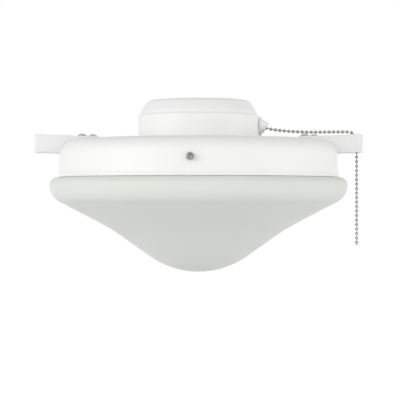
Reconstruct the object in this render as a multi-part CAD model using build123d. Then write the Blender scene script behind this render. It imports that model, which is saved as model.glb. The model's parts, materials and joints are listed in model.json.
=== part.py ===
from build123d import *
from math import asin, atan2, cos, degrees, pi, radians, sin, tan
import os

# Ceiling fan light kit that screws to the underside of a fan's switch housing.
# Lengths are in millimetres. The origin is the centre of the cap's flat top, +Z is up,
# the two chain arms lie along X with the pull chain at +X, and -Y is the front.

# Switch cap, a spun steel cup that stands on the pan
cap_radius = 57.0
cap_height = 37.3
cap_wall = 1.0
cap_hole_radius = 7.6
recess_flat = 4.4
recess_bend_radius = 1.2
recess_bend_angle = 60
crown_radius = 7.0
crown_angle = 57
brow_run = 6.6
brow_radius = 12.0
brow_angle = 15
brow_end_run = 1.6
step_radius = 1.0
step_end_radius = 1.8
step_angle = 32
step_run = 0.9
cap_draft = 1

# Pan, a spun steel dish that holds the glass
pan_radius = 130.9
pan_height = 34.9
pan_wall = 1.0
pan_hole_radius = 5.4
pan_shoulder_radius = 14.0
pan_draft = 2
lip_bend_radius = 1.6
lip_angle = 34
lip_height = 2.4

# Glass bowl
bowl_overhang = 8.9
bowl_depth = 88.5
glass = 3.5
neck_gap = 4.4
neck_height = 22.0
neck_fillet = 2.5
rim_top_radius = 7.0
rim_low_radius = 18.0
slope_share = 0.8223
ogee_share = 1.359
ogee_turn = 8
belly_share = 0.565
seat_gap = 0.3

# Chain arms, pressed steel channels open below
arm_width = 24.0
arm_wall = 1.2
arm_foot_inset = 36.2
arm_knee_inset = 15.9
arm_reach = 22.8
arm_rise = 1.9
arm_foot_lift = 3.8
arm_depth = 17.4
arm_taper = 1.2
arm_corner_radius = 4.0
arm_hole_inset = 6.3
arm_hole_radius = 4.25
paint_gap = 0.1

# Fasteners
foot_screw_inset = 5.2
foot_screw_spacing = 9.4
foot_screw_aside = 6.2
screw_radius = 2.0
screw_clearance = 0.3
pan_head_radius = 4.1
pan_head_height = 2.0
pan_head_edge = 0.9
slot_width = 1.0
slot_depth = 1.1
foot_screw_length = 9.2
nut_across_flats = 8.0
nut_height = 3.0
glass_screw_drop = 18.5
glass_screw_turn = -3.1
glass_screw_head_radius = 3.3
glass_screw_head_length = 3.6
glass_screw_stand_off = 1.6
tapped_gap = 0.06
square_nut = 9.0
square_nut_height = 2.6

# Central stem: a hickey with a tapped top, a threaded tube, and what it clamps
hickey_radius = 10.5
hickey_flange_height = 1.2
hickey_boss_height = 12.0
hickey_bore_radius = 4.4
hickey_window_height = 13.0
hickey_window_width = 13.0
hickey_strap_width = 12.0
washer_radius = 12.0
washer_height = 1.0
tube_radius = 5.1
tube_bore_radius = 3.4
tube_length = 20.0
bracket_sheet = 1.5
lock_washer_height = 0.8
lock_washer_teeth = 12
tooth_depth = 1.4
locknut_across_flats = 15.0
locknut_height = 4.0

# Lamp holders and lamps, one pair, laid along X
lamp_drop = 31.7
tab_outer_x = 14.0
bracket_width = 20.0
bracket_bend_radius = 3.0
tab_margin = 11.3
socket_radius = 18.0
socket_length = 34.0
socket_base = 7.0
socket_cavity_radius = 14.1
socket_edge = 1.5
shell_radius = 13.8
shell_wall = 0.4
shell_length = 25.0
shell_hole_radius = 5.0
contact_width = 5.0
contact_sheet = 0.5
contact_rise = 1.6
contact_reach = 8.0
holder_screw_radius = 2.0
holder_screw_head_radius = 3.6
holder_screw_head_height = 2.0
holder_screw_grip = 4.5
holder_screw_y = 6.0
lamp_gap = 0.4
lamp_base_radius = 13.0
lamp_base_length = 24.0
lamp_base_bevel = 4.0
lamp_tip_radius = 4.5
lamp_tip_length = 2.0
lamp_end_gap = 8.6
bulb_share = 0.2697
bulb_neck_radius = 12.6
bulb_flare_share = 0.337
bulb_flare_angle = 28
bulb_wall = 0.9

# Pull switch inside the cap
switch_rise = 13.2
case_inset = 8.5
case_length = 24.0
case_width = 20.0
case_height = 25.4
case_floor_gap = 1.3
case_wall = 1.6
case_edge = 2.0
cover_height = 1.6
bushing_radius = 4.75
bushing_bore_radius = 2.6
bushing_reach = 2.7
bushing_flange_radius = 7.0
bushing_flange_length = 1.4
switch_nut_across_flats = 13.0
switch_nut_length = 2.4
pull_travel = 8.0
ratchet_step = 90
ratchet_teeth = 8
ratchet_tooth = 1.1
ratchet_slant = 30
drum_inset = 12.5
drum_groove = 4.4
drum_flange = 1.2
drum_flange_radius = 6.4
hub_radius = 2.6
hub_length = 3.4
axle_radius = 1.5
axle_gap = 0.05
spring_wall = 0.5
spring_pitch = 1.0
spring_width = 2.0
spring_half_turns = 5
terminal_width = 3.0
terminal_sheet = 0.8
terminal_reach = 5.0
terminal_y = 5.0

# Bell guide on the cap's outside
bell_seat_gap = 0.1
bell_length = 9.3
bell_flange_length = 2.2
bell_flange_radius = 8.8
bell_flange_edge = 0.6
bell_root_radius = 6.9
bell_tip_radius = 2.8
bell_slot_radius = 2.3
bell_bore_gap = 0.1
bell_cut_back = 4.2
bell_cut_drop = 4.7

# Pull chain of hollow beads on short pins
bead_radius = 1.6
bead_pitch = 4.23
bead_edge_share = 0.586
pin_radius = 0.42
pin_gap = 0.12
bend_radius = 6.8
drop_offset = 1.7
chain_drop = 96.5
end_bead_radius = 2.15
end_bead_length = 4.6
bend_beads = 2
wrap_beads = 3
chain_lead_in = 1.4
chain_mouth_gap = 0.6
chain_sag = 5.6
chain_mouth_share = 0.5
# Places between the bell guide's mouth and the drop, as shares of the way and of the sag
chain_sag_shares = [(0.207, 0.857), (0.475, 1.0), (0.767, 0.9375), (1.0, 0.9375)]
route_share = 0.45

# Wiring inside the cap and the stem
lead_radius = 1.0
lead_sides = 6
lead_offset = 1.4
lead_exit_y = 13.0
lead_exit_rise = 2.0
lead_exit_run = 12.0
lead_exit_slant = 2.0
nut_mouth_x = -9.0
nut_mouth_y = 30.0
nut_mouth_drop = 9.0
supply_nut_x = 9.6
supply_nut_y = 18.0
switch_lead_run = 6.8
switch_lead_end_run = 10.0
wire_nut_radius = 5.4
wire_nut_tip_radius = 2.6
wire_nut_length = 20.0
wire_nut_skirt = 6.0
wire_nut_bore_radius = 3.3
wire_nut_depth = 9.0
lead_grip = 6.0
lead_stem_drop = 12.0
lead_window_drop = 4.0
lead_above = 1.9
lead_below = 0.7

# Room that cuts are given past the faces they go through
overrun = 2.0

pan_top_z = -cap_height
pan_under_z = pan_top_z - pan_wall
rim_z = pan_top_z - pan_height

bowl_radius = pan_radius + bowl_overhang
neck_radius = pan_radius - pan_wall - neck_gap
neck_top_z = rim_z - seat_gap + neck_height
bowl_bottom_z = rim_z - seat_gap - bowl_depth
bowl_slope = degrees(atan2(slope_share * bowl_depth, bowl_radius))
glass_screw_z = pan_top_z - glass_screw_drop

arm_foot_x = pan_radius - arm_foot_inset
arm_knee_x = pan_radius - arm_knee_inset
arm_tip_x = pan_radius + arm_reach
arm_hole_x = arm_tip_x - arm_hole_inset

lamp_z = pan_under_z - lamp_drop
shell_x = tab_outer_x + socket_base
lamp_tip_x = shell_x + shell_wall + contact_rise + 2 * contact_sheet + lamp_gap
bulb_length = neck_radius - glass - lamp_end_gap - lamp_tip_x
bulb_radius = bulb_share * bulb_length

switch_z = pan_top_z + switch_rise
case_outer_x = cap_radius - case_inset
case_low_z = pan_top_z + case_floor_gap
drum_x = case_outer_x - drum_inset
drum_radius = pull_travel / radians(ratchet_step)
bell_flange_x = cap_radius + bell_seat_gap
bell_tip_x = bell_flange_x + bell_length
bushing_end_x = bell_flange_x + bushing_reach

drop_x = arm_hole_x + drop_offset
mouth_x = bell_tip_x + chain_mouth_gap
# Corners of the line that the beads follow, from the drum to the hole in the arm
chain_route = [
    (drum_x, switch_z),
    (bell_flange_x + chain_lead_in, switch_z),
    (mouth_x, switch_z - chain_mouth_share * chain_sag),
]
for along_share, sag_share in chain_sag_shares:
    place_x = mouth_x + along_share * (drop_x - mouth_x)
    chain_route.append((place_x, switch_z - sag_share * chain_sag))
chain_z = chain_route[-1][1]
chain_end_z = pan_top_z - chain_drop
bend_x = drop_x - bend_radius
bend_z = chain_z - bend_radius
nut_mouth_z = -hickey_boss_height - nut_mouth_drop

nodes = {}


def run(length):
    """A straight stretch of an outline."""
    return (length, 0)


def turn(radius, angle):
    """An arc of an outline, to the left where the angle is positive."""
    return (radius, angle)


def follow(start, heading, moves, aside=0):
    """The edges of an outline drawn move by move, shifted aside to its left."""
    way = Vector(cos(radians(heading)), sin(radians(heading)))
    place = Vector(*start) + way.rotate(Axis.Z, 90) * aside
    edges = []
    for size, angle in moves:
        way = Vector(cos(radians(heading)), sin(radians(heading)))
        if angle:
            radius = size - aside if angle > 0 else size + aside
            edges.append(JernArc(start=place, tangent=way, radius=radius, arc_size=angle))
        else:
            edges.append(Line(place, place + way * size))
        place = edges[-1] @ 1
        heading += angle
    return edges


def travel(heading, moves):
    """How far an outline gets along each axis."""
    moves = [move for move in moves if move[0]]
    end = follow((0, 0), heading, moves)[-1] @ 1
    return end.X, end.Y


def sheet(start, heading, moves, wall):
    """The section of a sheet of even thickness, which lies to the right of its outline."""
    face = follow(start, heading, moves)
    back = follow(start, heading, moves, -wall)
    ends = [Line(face[0] @ 0, back[0] @ 0), Line(face[-1] @ 1, back[-1] @ 1)]
    return make_face(face + back + ends)


def spin(section):
    """A section, drawn as radius and height, turned about the Z axis."""
    return revolve(Plane.XZ * section, Axis.Z, 360)


def lathe(*points):
    """A turned part from the corners of its section, as radius and height."""
    return spin(make_face(Polyline(*points, close=True)))


def facing(x, y, z, way):
    """The place of a part that is drawn upwards from zero and points along way."""
    return Plane(origin=(x, y, z), z_dir=way).location


def hexagon(across_flats, height):
    """A hexagonal bar that stands on zero."""
    return extrude(RegularPolygon(across_flats / 2, 6, major_radius=False), height)


def other_side(part):
    """The same part turned half round the Z axis."""
    return Rot(0, 0, 180) * part


def route_radii(points):
    """The arc at each corner of a route, as large as its two runs allow."""
    radii = []
    for before, corner, after in zip(points, points[1:], points[2:]):
        into, out = corner - before, after - corner
        half_turn = radians(into.get_angle(out)) / 2
        radii.append(route_share * min(into.length, out.length) / tan(half_turn))
    return radii


def lead(*points):
    """An insulated wire along a route of runs and arcs."""
    corners = [Vector(*point) for point in points]
    radii = route_radii(corners)
    print("lead arcs", [round(radius, 1) for radius in radii])
    path = FilletPolyline(*corners, radius=radii)
    section = Plane(origin=path @ 0, z_dir=path % 0) * RegularPolygon(lead_radius, lead_sides)
    wire = sweep(section, path=path)
    print("lead volume", round(wire.volume, 1), "of", round(section.area * path.length, 1))
    return wire


def slotted_screw(head_radius, head_height, head_edge, length):
    """A screw that points down from zero, with a rounded and slotted head above."""
    head = Cylinder(head_radius, head_height, align=(Align.CENTER, Align.CENTER, Align.MIN))
    head = chamfer(head.edges().group_by(Axis.Z)[-1], head_edge)
    slot = Box(2 * head_radius + overrun, slot_width, slot_depth + overrun)
    head -= Pos(0, 0, head_height + (overrun - slot_depth) / 2) * slot
    return head + Cylinder(screw_radius, length, align=(Align.CENTER, Align.CENTER, Align.MAX))


def make_cap():
    """The cap, with a dished seat for the hickey, a stepped brow and a switch hole."""
    dish = [
        run(recess_flat),
        turn(recess_bend_radius, recess_bend_angle),
        turn(recess_bend_radius, -recess_bend_angle),
    ]
    brow = [
        turn(crown_radius, -crown_angle),
        run(brow_run),
        turn(brow_radius, -brow_angle),
        run(brow_end_run),
        turn(step_radius, step_angle),
        run(step_run),
        turn(step_end_radius, brow_angle + crown_angle - step_angle - 90 + cap_draft),
    ]
    out, down = travel(0, brow)
    wall_run = (cap_height + down) / cos(radians(cap_draft))
    dish_out, dish_up = travel(0, dish)
    flat_run = cap_radius - cap_hole_radius - dish_out - out - wall_run * sin(radians(cap_draft))
    section = sheet(
        (cap_hole_radius, -dish_up), 0, dish + [run(flat_run)] + brow + [run(wall_run)], cap_wall
    )
    hole = facing(cap_radius, 0, switch_z, (1, 0, 0)) * Cylinder(
        bushing_radius + screw_clearance, cap_radius / 2
    )
    trim = Cylinder(cap_radius + overrun, overrun, align=(Align.CENTER, Align.CENTER, Align.MAX))
    return spin(section) - hole - Pos(0, 0, pan_top_z) * trim


def pan_moves():
    """The pan's outline from its centre hole to its lip."""
    lip = [
        turn(lip_bend_radius, lip_angle),
        turn(lip_bend_radius, -lip_angle),
        run(lip_height),
    ]
    shoulder = [turn(pan_shoulder_radius, pan_draft - 90)]
    out, down = travel(0, shoulder)
    lip_out, lip_down = travel(pan_draft - 90, lip)
    side_run = (pan_height + down + lip_down) / cos(radians(pan_draft))
    flat_run = pan_radius - pan_hole_radius - out - side_run * sin(radians(pan_draft))
    return [run(flat_run)] + shoulder + [run(side_run)] + lip


def make_pan():
    """The pan, with its stem hole, foot screw holes and glass screw holes."""
    pan = spin(sheet((pan_hole_radius, pan_top_z), 0, pan_moves(), pan_wall))
    trim = Cylinder(pan_radius + overrun, overrun, align=(Align.CENTER, Align.CENTER, Align.MAX))
    pan -= Pos(0, 0, rim_z) * trim
    hole = Cylinder(screw_radius + screw_clearance, cap_height)
    for place in foot_places():
        pan -= Pos(*place, pan_top_z) * hole
    for angle in glass_screw_angles():
        pan -= Rot(0, 0, angle) * facing(0, -pan_radius, glass_screw_z, (0, -1, 0)) * hole
    return pan


def foot_places():
    """Where the foot screws stand: a slanted pair on each arm, the right arm's first."""
    near_x = arm_foot_x + foot_screw_inset
    pair = [(near_x, -foot_screw_aside), (near_x + foot_screw_spacing, foot_screw_aside)]
    return pair + [(-x, -y) for x, y in pair]


def glass_screw_angles():
    """The turn of each glass screw from the front."""
    return [glass_screw_turn + third * 360 / 3 for third in range(3)]


def bowl_moves():
    """The bowl's outline from the top of its neck to its lowest point."""
    belly_angle = bowl_slope + ogee_turn
    shoulder = bowl_radius - neck_radius - neck_fillet - rim_top_radius
    first = [
        run(neck_height - neck_fillet),
        turn(neck_fillet, 90),
        run(shoulder),
        turn(rim_top_radius, -90),
        turn(rim_low_radius, bowl_slope - 90),
    ]
    ogee = turn(ogee_share * bowl_radius, ogee_turn)
    belly = turn(belly_share * bowl_radius, -belly_angle)
    first_out, first_down = travel(-90, first)
    ogee_out, ogee_down = travel(bowl_slope - 180, [ogee])
    belly_out, belly_down = travel(belly_angle - 180, [belly])
    inward = neck_radius + first_out + ogee_out + belly_out
    downward = neck_top_z - bowl_bottom_z + first_down + ogee_down + belly_down
    upper, lower = radians(bowl_slope), radians(belly_angle)
    upper_run = (inward * sin(lower) - downward * cos(lower)) / sin(lower - upper)
    lower_run = (downward * cos(upper) - inward * sin(upper)) / sin(lower - upper)
    return first + [run(upper_run), ogee, run(lower_run), belly]


def make_arm():
    """The right arm: a channel whose foot sits on the pan and whose tip holds the chain."""
    foot_z = pan_top_z + arm_foot_lift
    tip_z = foot_z + arm_rise
    side = Plane.XZ * make_face(
        Polyline(
            (arm_foot_x, foot_z),
            (arm_knee_x, foot_z),
            (arm_tip_x, tip_z),
            (arm_tip_x, tip_z - arm_depth),
            (arm_foot_x, tip_z - arm_depth - arm_taper),
            close=True,
        )
    )
    outside = extrude(side, arm_width / 2, both=True)
    outside = fillet(tip_corners(outside), arm_corner_radius)
    inside = extrude(side, arm_width / 2 - arm_wall, both=True)
    inside = fillet(tip_corners(inside), arm_corner_radius - arm_wall)
    inside = Pos(-arm_wall, 0, -arm_wall) * inside
    arm = outside - inside
    arm -= spin(filled_pan())
    arm -= Pos(arm_hole_x, 0, tip_z) * Cylinder(arm_hole_radius, 2 * arm_corner_radius)
    hole = Cylinder(screw_radius + screw_clearance, 2 * arm_foot_lift)
    for place in foot_places()[:2]:
        arm -= Pos(*place, foot_z) * hole
    return arm


def tip_corners(block):
    """The two upright edges at an arm's tip."""
    return block.edges().filter_by(Axis.Z).group_by(Axis.X)[-1]


def filled_pan():
    """The section of the room that the pan takes, with a coat of paint round it."""
    outline = follow((pan_hole_radius, pan_top_z), 0, pan_moves(), paint_gap)
    start, end = outline[0] @ 0, outline[-1] @ 1
    centre = [Line(start, (0, start.Y)), Line((0, start.Y), (0, end.Y)), Line((0, end.Y), end)]
    return make_face(outline + centre)


def make_hickey():
    """The hickey: a tapped boss and a tapped foot joined by two straps round a window."""
    foot_z = pan_top_z + washer_height
    body = Cylinder(hickey_radius, -foot_z, align=(Align.CENTER, Align.CENTER, Align.MAX))
    body -= Pos(0, 0, -hickey_flange_height) * (
        Cylinder(hickey_radius + overrun, cap_wall, align=(Align.CENTER, Align.CENTER, Align.MAX))
        - Cylinder(
            cap_hole_radius - paint_gap, cap_wall, align=(Align.CENTER, Align.CENTER, Align.MAX)
        )
    )
    window = Box(
        hickey_window_width,
        2 * hickey_radius + overrun,
        hickey_window_height,
        align=(Align.CENTER, Align.CENTER, Align.MAX),
    )
    waist = Box(
        2 * hickey_radius + overrun,
        2 * hickey_radius,
        hickey_window_height,
        align=(Align.CENTER, Align.MIN, Align.MAX),
    )
    body -= Pos(0, 0, -hickey_boss_height) * window
    body -= Pos(0, hickey_strap_width / 2, -hickey_boss_height) * waist
    body -= Pos(0, -hickey_strap_width / 2, -hickey_boss_height) * Rot(0, 0, 180) * waist
    body -= Cylinder(hickey_bore_radius, 2 * hickey_boss_height)
    window_z = -hickey_boss_height - hickey_window_height
    foot_bore = Cylinder(
        tube_radius, window_z - foot_z + 2 * overrun, align=(Align.CENTER, Align.CENTER, Align.MIN)
    )
    return body - Pos(0, 0, foot_z - overrun) * foot_bore


def make_stem():
    """The threaded tube and the washers, bracket and nut that it clamps under the pan."""
    clamp = Cylinder(washer_radius, washer_height) - Cylinder(tube_radius, washer_height)
    nodes["clamp_washer"] = Pos(0, 0, pan_top_z + washer_height / 2) * clamp
    tube_end_z = pan_under_z - bracket_sheet - lock_washer_height - locknut_height - overrun
    tube = Cylinder(tube_radius, tube_length) - Cylinder(tube_bore_radius, tube_length)
    nodes["threaded_tube"] = Pos(0, 0, tube_end_z + tube_length / 2) * tube
    teeth = Cylinder(hickey_radius, lock_washer_height) - Cylinder(tube_radius, lock_washer_height)
    gap = Box(2 * tooth_depth, tooth_depth, lock_washer_height)
    for tooth in range(lock_washer_teeth):
        teeth -= Rot(0, 0, tooth * 360 / lock_washer_teeth) * Pos(hickey_radius, 0, 0) * gap
    washer_z = pan_under_z - bracket_sheet - lock_washer_height
    nodes["lock_washer"] = Pos(0, 0, washer_z + lock_washer_height / 2) * teeth
    nut = hexagon(locknut_across_flats, locknut_height)
    nut -= Cylinder(tube_radius, 2 * locknut_height + overrun)
    nodes["locknut"] = Pos(0, 0, washer_z - locknut_height) * nut
    nodes["lamp_bracket"] = make_bracket()


def make_bracket():
    """The bracket that hangs from the stem, with a tab for each lamp holder."""
    across = 2 * (tab_outer_x - bracket_bend_radius)
    tab_drop = lamp_drop + tab_margin
    tab_run = tab_drop - bracket_bend_radius
    moves = [
        run(tab_run),
        turn(bracket_bend_radius, -90),
        run(across),
        turn(bracket_bend_radius, -90),
        run(tab_run),
    ]
    start = (-tab_outer_x, pan_under_z - tab_drop)
    bracket = extrude(Plane.XZ * sheet(start, 90, moves, bracket_sheet), bracket_width / 2, both=True)
    bracket -= Pos(0, 0, pan_under_z) * Cylinder(tube_radius + paint_gap, 4 * bracket_sheet)
    for side in (-1, 1):
        for y in (-holder_screw_y, holder_screw_y):
            bore = Cylinder(holder_screw_radius + paint_gap, 4 * bracket_sheet)
            bracket -= facing(side * tab_outer_x, y, lamp_z, (1, 0, 0)) * bore
    return bracket


def make_socket():
    """The right lamp holder, drawn along Z from the bracket's tab outwards."""
    body = lathe(
        (0, 0),
        (socket_radius - socket_edge, 0),
        (socket_radius, socket_edge),
        (socket_radius, socket_length - socket_edge),
        (socket_radius - socket_edge, socket_length),
        (socket_cavity_radius, socket_length),
        (socket_cavity_radius, socket_base),
        (0, socket_base),
    )
    for y in (-holder_screw_y, holder_screw_y):
        bore = Cylinder(holder_screw_radius + tapped_gap, 2 * (holder_screw_grip + paint_gap))
        body -= Pos(0, y, 0) * bore
    return body


def make_shell():
    """The lamp holder's screw shell, a drawn cup with a hole for the contact."""
    return lathe(
        (shell_hole_radius, 0),
        (shell_radius, 0),
        (shell_radius, shell_length),
        (shell_radius - shell_wall, shell_length),
        (shell_radius - shell_wall, shell_wall),
        (shell_hole_radius, shell_wall),
    )


def make_contact():
    """The lamp holder's sprung centre contact, a strip that rises to the lamp's tip."""
    rise_angle = degrees(atan2(contact_rise, contact_reach / 2))
    moves = [
        run(contact_reach / 4),
        turn(contact_sheet * 2, rise_angle),
        run(contact_rise),
        turn(contact_sheet * 2, -rise_angle),
        run(contact_reach / 4),
    ]
    strip = sheet((-contact_reach / 2, contact_sheet), 0, moves, contact_sheet)
    return extrude(Plane.XZ * strip, contact_width / 2, both=True)


def make_lamp():
    """A lamp drawn along Z from its tip contact: its metal base and its hollow glass."""
    base_z = lamp_tip_length
    glass_z = base_z + lamp_base_length
    base = lathe(
        (0, 0),
        (lamp_tip_radius / 2, 0),
        (lamp_tip_radius, base_z / 2),
        (lamp_tip_radius, base_z),
        (lamp_base_radius - lamp_base_bevel, base_z),
        (lamp_base_radius, base_z + lamp_base_bevel),
        (lamp_base_radius, glass_z),
        (0, glass_z),
    )
    slant = radians(bulb_flare_angle)
    flare = turn(bulb_flare_share * bulb_length, -bulb_flare_angle)
    dome = turn(bulb_radius, bulb_flare_angle + 90)
    flare_out, flare_up = travel(90, [flare])
    dome_out, dome_up = travel(90 - bulb_flare_angle, [dome])
    slant_run = (-dome_out - flare_out - bulb_neck_radius) / sin(slant)
    neck_run = bulb_length - glass_z - flare_up - dome_up - slant_run * cos(slant)
    moves = [run(neck_run), flare, run(slant_run), dome]
    envelope = spin(sheet((bulb_neck_radius, glass_z), 90, moves, -bulb_wall))
    return base, envelope


def make_lamp_holders():
    """Both lamp holders with their lamps, back to back on the bracket."""
    socket_x = tab_outer_x
    base, envelope = make_lamp()
    screws = []
    for y in (-holder_screw_y, holder_screw_y):
        head = Cylinder(
            holder_screw_head_radius,
            holder_screw_head_height,
            align=(Align.CENTER, Align.CENTER, Align.MIN),
        )
        grip = Cylinder(
            holder_screw_radius,
            bracket_sheet + holder_screw_grip,
            align=(Align.CENTER, Align.CENTER, Align.MAX),
        )
        screws.append(facing(socket_x - bracket_sheet, y, lamp_z, (-1, 0, 0)) * (head + grip))
    outward = (1, 0, 0)
    right = {
        "lamp_holder": facing(socket_x, 0, lamp_z, outward) * make_socket(),
        "screw_shell": facing(shell_x, 0, lamp_z, outward) * make_shell(),
        "centre_contact": facing(shell_x, 0, lamp_z, outward) * make_contact(),
        "lamp_base": facing(lamp_tip_x, 0, lamp_z, outward) * base,
        "lamp_glass": facing(lamp_tip_x, 0, lamp_z, outward) * envelope,
    }
    for name, part in right.items():
        nodes[name + "_right"] = part
        nodes[name + "_left"] = other_side(part)
    nodes["holder_screws"] = Compound(children=screws + [other_side(screw) for screw in screws])


def make_fasteners():
    """Foot screws and their nuts, glass screws and their nuts."""
    foot_z = pan_top_z + arm_foot_lift
    screw = slotted_screw(pan_head_radius, pan_head_height, pan_head_edge, foot_screw_length)
    nut = hexagon(nut_across_flats, nut_height) - Cylinder(screw_radius, 3 * nut_height)
    nodes["arm_screws"] = Compound(
        children=[Pos(*place, foot_z) * screw for place in foot_places()]
    )
    nodes["arm_nuts"] = Compound(
        children=[Pos(*place, pan_under_z - nut_height) * nut for place in foot_places()]
    )
    side_radius = pan_side_radius(glass_screw_z)
    head_y = -side_radius - glass_screw_stand_off
    length = side_radius + glass_screw_stand_off - neck_radius - seat_gap
    set_screw = slotted_screw(
        glass_screw_head_radius, glass_screw_head_length, pan_head_edge, length
    )
    set_screw = facing(0, head_y, glass_screw_z, (0, -1, 0)) * set_screw
    square = Box(square_nut, square_nut, square_nut_height)
    square -= Cylinder(screw_radius + tapped_gap, 2 * square_nut_height)
    nut_radius = pan_side_radius(glass_screw_z + square_nut / 2) - pan_wall - paint_gap
    nut_y = square_nut_height / 2 - nut_radius * cos(asin(square_nut / 2 / nut_radius))
    square = facing(0, nut_y, glass_screw_z, (0, -1, 0)) * square
    places = [Rot(0, 0, angle) for angle in glass_screw_angles()]
    for place, name in zip(places, ("front", "right", "left")):
        nodes["glass_screw_" + name] = place * set_screw
    nodes["glass_screw_nuts"] = Compound(children=[place * square for place in places])


def pan_side_radius(z):
    """The radius of the pan's straight side at a height."""
    shoulder_out, shoulder_down = travel(0, [turn(pan_shoulder_radius, pan_draft - 90)])
    moves = pan_moves()
    side_top_radius = pan_hole_radius + moves[0][0] + shoulder_out
    return side_top_radius + (pan_top_z + shoulder_down - z) * tan(radians(pan_draft))


def make_switch():
    """The pull switch: case, cover, bushing, nut, terminals, drum, axle and spring."""
    case_x = case_outer_x - case_length
    upright = (Align.MIN, Align.CENTER, Align.MIN)
    case = Box(case_length, case_width, case_height, align=upright)
    case = fillet(case.edges().filter_by(Axis.X), case_edge)
    cavity = Box(
        case_length - case_wall,
        case_width - 2 * case_wall,
        case_height - 2 * case_wall,
        align=upright,
    )
    cover = Box(cover_height, case_width, case_height, align=upright)
    cover = Pos(case_x - cover_height, 0, case_low_z) * fillet(cover.edges().filter_by(Axis.X), case_edge)
    case = Pos(case_x, 0, case_low_z) * (case - Pos(0, 0, case_wall) * cavity)
    along_x = (1, 0, 0)
    case -= facing(case_outer_x, 0, switch_z, along_x) * Cylinder(bushing_bore_radius, case_length / 2)
    drum_z = switch_z + drum_radius
    axle = facing(drum_x, 0, drum_z, (0, 1, 0)) * Cylinder(axle_radius, case_width - case_wall)
    nodes["switch_case"] = case - axle
    nodes["drum_axle"] = axle
    flange = bushing_flange_length
    nodes["switch_bushing"] = facing(case_outer_x, 0, switch_z, along_x) * lathe(
        (bushing_bore_radius, 0),
        (bushing_flange_radius, 0),
        (bushing_flange_radius, flange),
        (bushing_radius, flange),
        (bushing_radius, bushing_end_x - case_outer_x),
        (bushing_bore_radius, bushing_end_x - case_outer_x),
    )
    locknut = hexagon(switch_nut_across_flats, switch_nut_length)
    locknut -= Cylinder(bushing_radius, 2 * switch_nut_length + overrun)
    nut_x = case_outer_x + flange + switch_nut_length
    nodes["switch_nut"] = facing(nut_x, 0, switch_z, along_x) * locknut
    blade = Box(
        terminal_reach + cover_height + case_wall,
        terminal_width,
        terminal_sheet,
        align=(Align.MAX, Align.CENTER, Align.CENTER),
    )
    terminals = [
        Pos(case_x + case_wall, y, terminal_z()) * blade for y in (-terminal_y, terminal_y)
    ]
    for terminal in terminals:
        cover -= terminal
    nodes["switch_cover"] = cover
    nodes["switch_terminals"] = Compound(children=terminals)
    nodes["switch_drum"] = make_drum(drum_z)
    nodes["return_spring"] = make_spring(drum_z)


def terminal_z():
    """The height of the switch's terminals, above the drum."""
    return switch_z + drum_radius + drum_flange_radius - terminal_width


def make_drum(drum_z):
    """The drum that the chain turns: a grooved spool, a ratchet flange and a hub."""
    floor = drum_radius - bead_radius - seat_gap
    half = drum_groove / 2
    spool = lathe(
        (axle_radius + axle_gap, -half - drum_flange),
        (drum_flange_radius, -half - drum_flange),
        (drum_flange_radius, -half),
        (floor, -half),
        (floor, half),
        (drum_flange_radius, half),
        (drum_flange_radius, half + drum_flange),
        (hub_radius, half + drum_flange),
        (hub_radius, half + drum_flange + hub_length),
        (axle_radius + axle_gap, half + drum_flange + hub_length),
    )
    notch = Box(
        ratchet_tooth + overrun,
        ratchet_tooth,
        drum_flange + overrun,
        align=(Align.MIN, Align.CENTER, Align.CENTER),
    )
    for tooth in range(ratchet_teeth):
        place = Rot(0, 0, tooth * 360 / ratchet_teeth) * Pos(drum_flange_radius - ratchet_tooth, 0)
        spool -= place * Pos(0, 0, -half - drum_flange / 2) * Rot(0, 0, ratchet_slant) * notch
    return facing(drum_x, 0, drum_z, (0, 1, 0)) * spool


def make_spring(drum_z):
    """The flat spiral spring round the drum's hub."""
    first = hub_radius + seat_gap + spring_wall
    moves = [turn(first + half * spring_pitch / 2, 180) for half in range(spring_half_turns)]
    coil = extrude(sheet((first, 0), 90, moves, -spring_wall), spring_width)
    start_y = drum_groove / 2 + drum_flange + (hub_length - spring_width) / 2
    return facing(drum_x, start_y, drum_z, (0, 1, 0)) * coil


def make_bell():
    """The bell guide: a flange and a cone cut slantwise, with a slot that the chain hangs in."""
    cone_x = bell_flange_x + bell_flange_length
    flange = Cylinder(bell_flange_radius, bell_flange_length, align=(Align.CENTER, Align.CENTER, Align.MIN))
    flange = fillet(flange.edges().group_by(Axis.Z)[-1], bell_flange_edge)
    cone = Cone(
        bell_root_radius,
        bell_tip_radius,
        bell_tip_x - cone_x,
        align=(Align.CENTER, Align.CENTER, Align.MIN),
    )
    along_x = (1, 0, 0)
    bell = facing(bell_flange_x, 0, switch_z, along_x) * flange
    bell += facing(cone_x, 0, switch_z, along_x) * cone
    slant = degrees(atan2(bell_tip_radius + bell_cut_drop, bell_cut_back))
    waste = Box(
        4 * bell_flange_radius,
        4 * bell_flange_radius,
        2 * bell_flange_radius,
        align=(Align.CENTER, Align.CENTER, Align.MAX),
    )
    bell -= Pos(bell_tip_x, 0, switch_z + bell_tip_radius) * Rot(0, -slant, 0) * waste
    thread = Cylinder(
        bushing_radius + paint_gap,
        bushing_end_x + bell_bore_gap - bell_flange_x,
        align=(Align.CENTER, Align.CENTER, Align.MIN),
    )
    bell -= facing(bell_flange_x, 0, switch_z, along_x) * thread
    sag = switch_z - chain_route[2][1]
    slot = Pos(0, -sag / 2) * SlotCenterToCenter(sag, 2 * bell_slot_radius, rotation=90)
    mouth = Plane(origin=(bushing_end_x, 0, switch_z), x_dir=(0, 1, 0), z_dir=along_x)
    return bell - extrude(mouth * slot, bell_tip_x - bushing_end_x + overrun)


def beads_along(places):
    """Beads at these points, as many-sided balls, with a pin from each to the next."""
    ball = Box(2 * bead_radius, 2 * bead_radius, 2 * bead_radius)
    ball = chamfer(ball.edges(), bead_edge_share * bead_radius)
    parts = [Pos(place) * ball for place in places]
    for here, there in zip(places, places[1:]):
        parts.append(pin_between(here, there, 0))
    return Part() + parts


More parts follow.
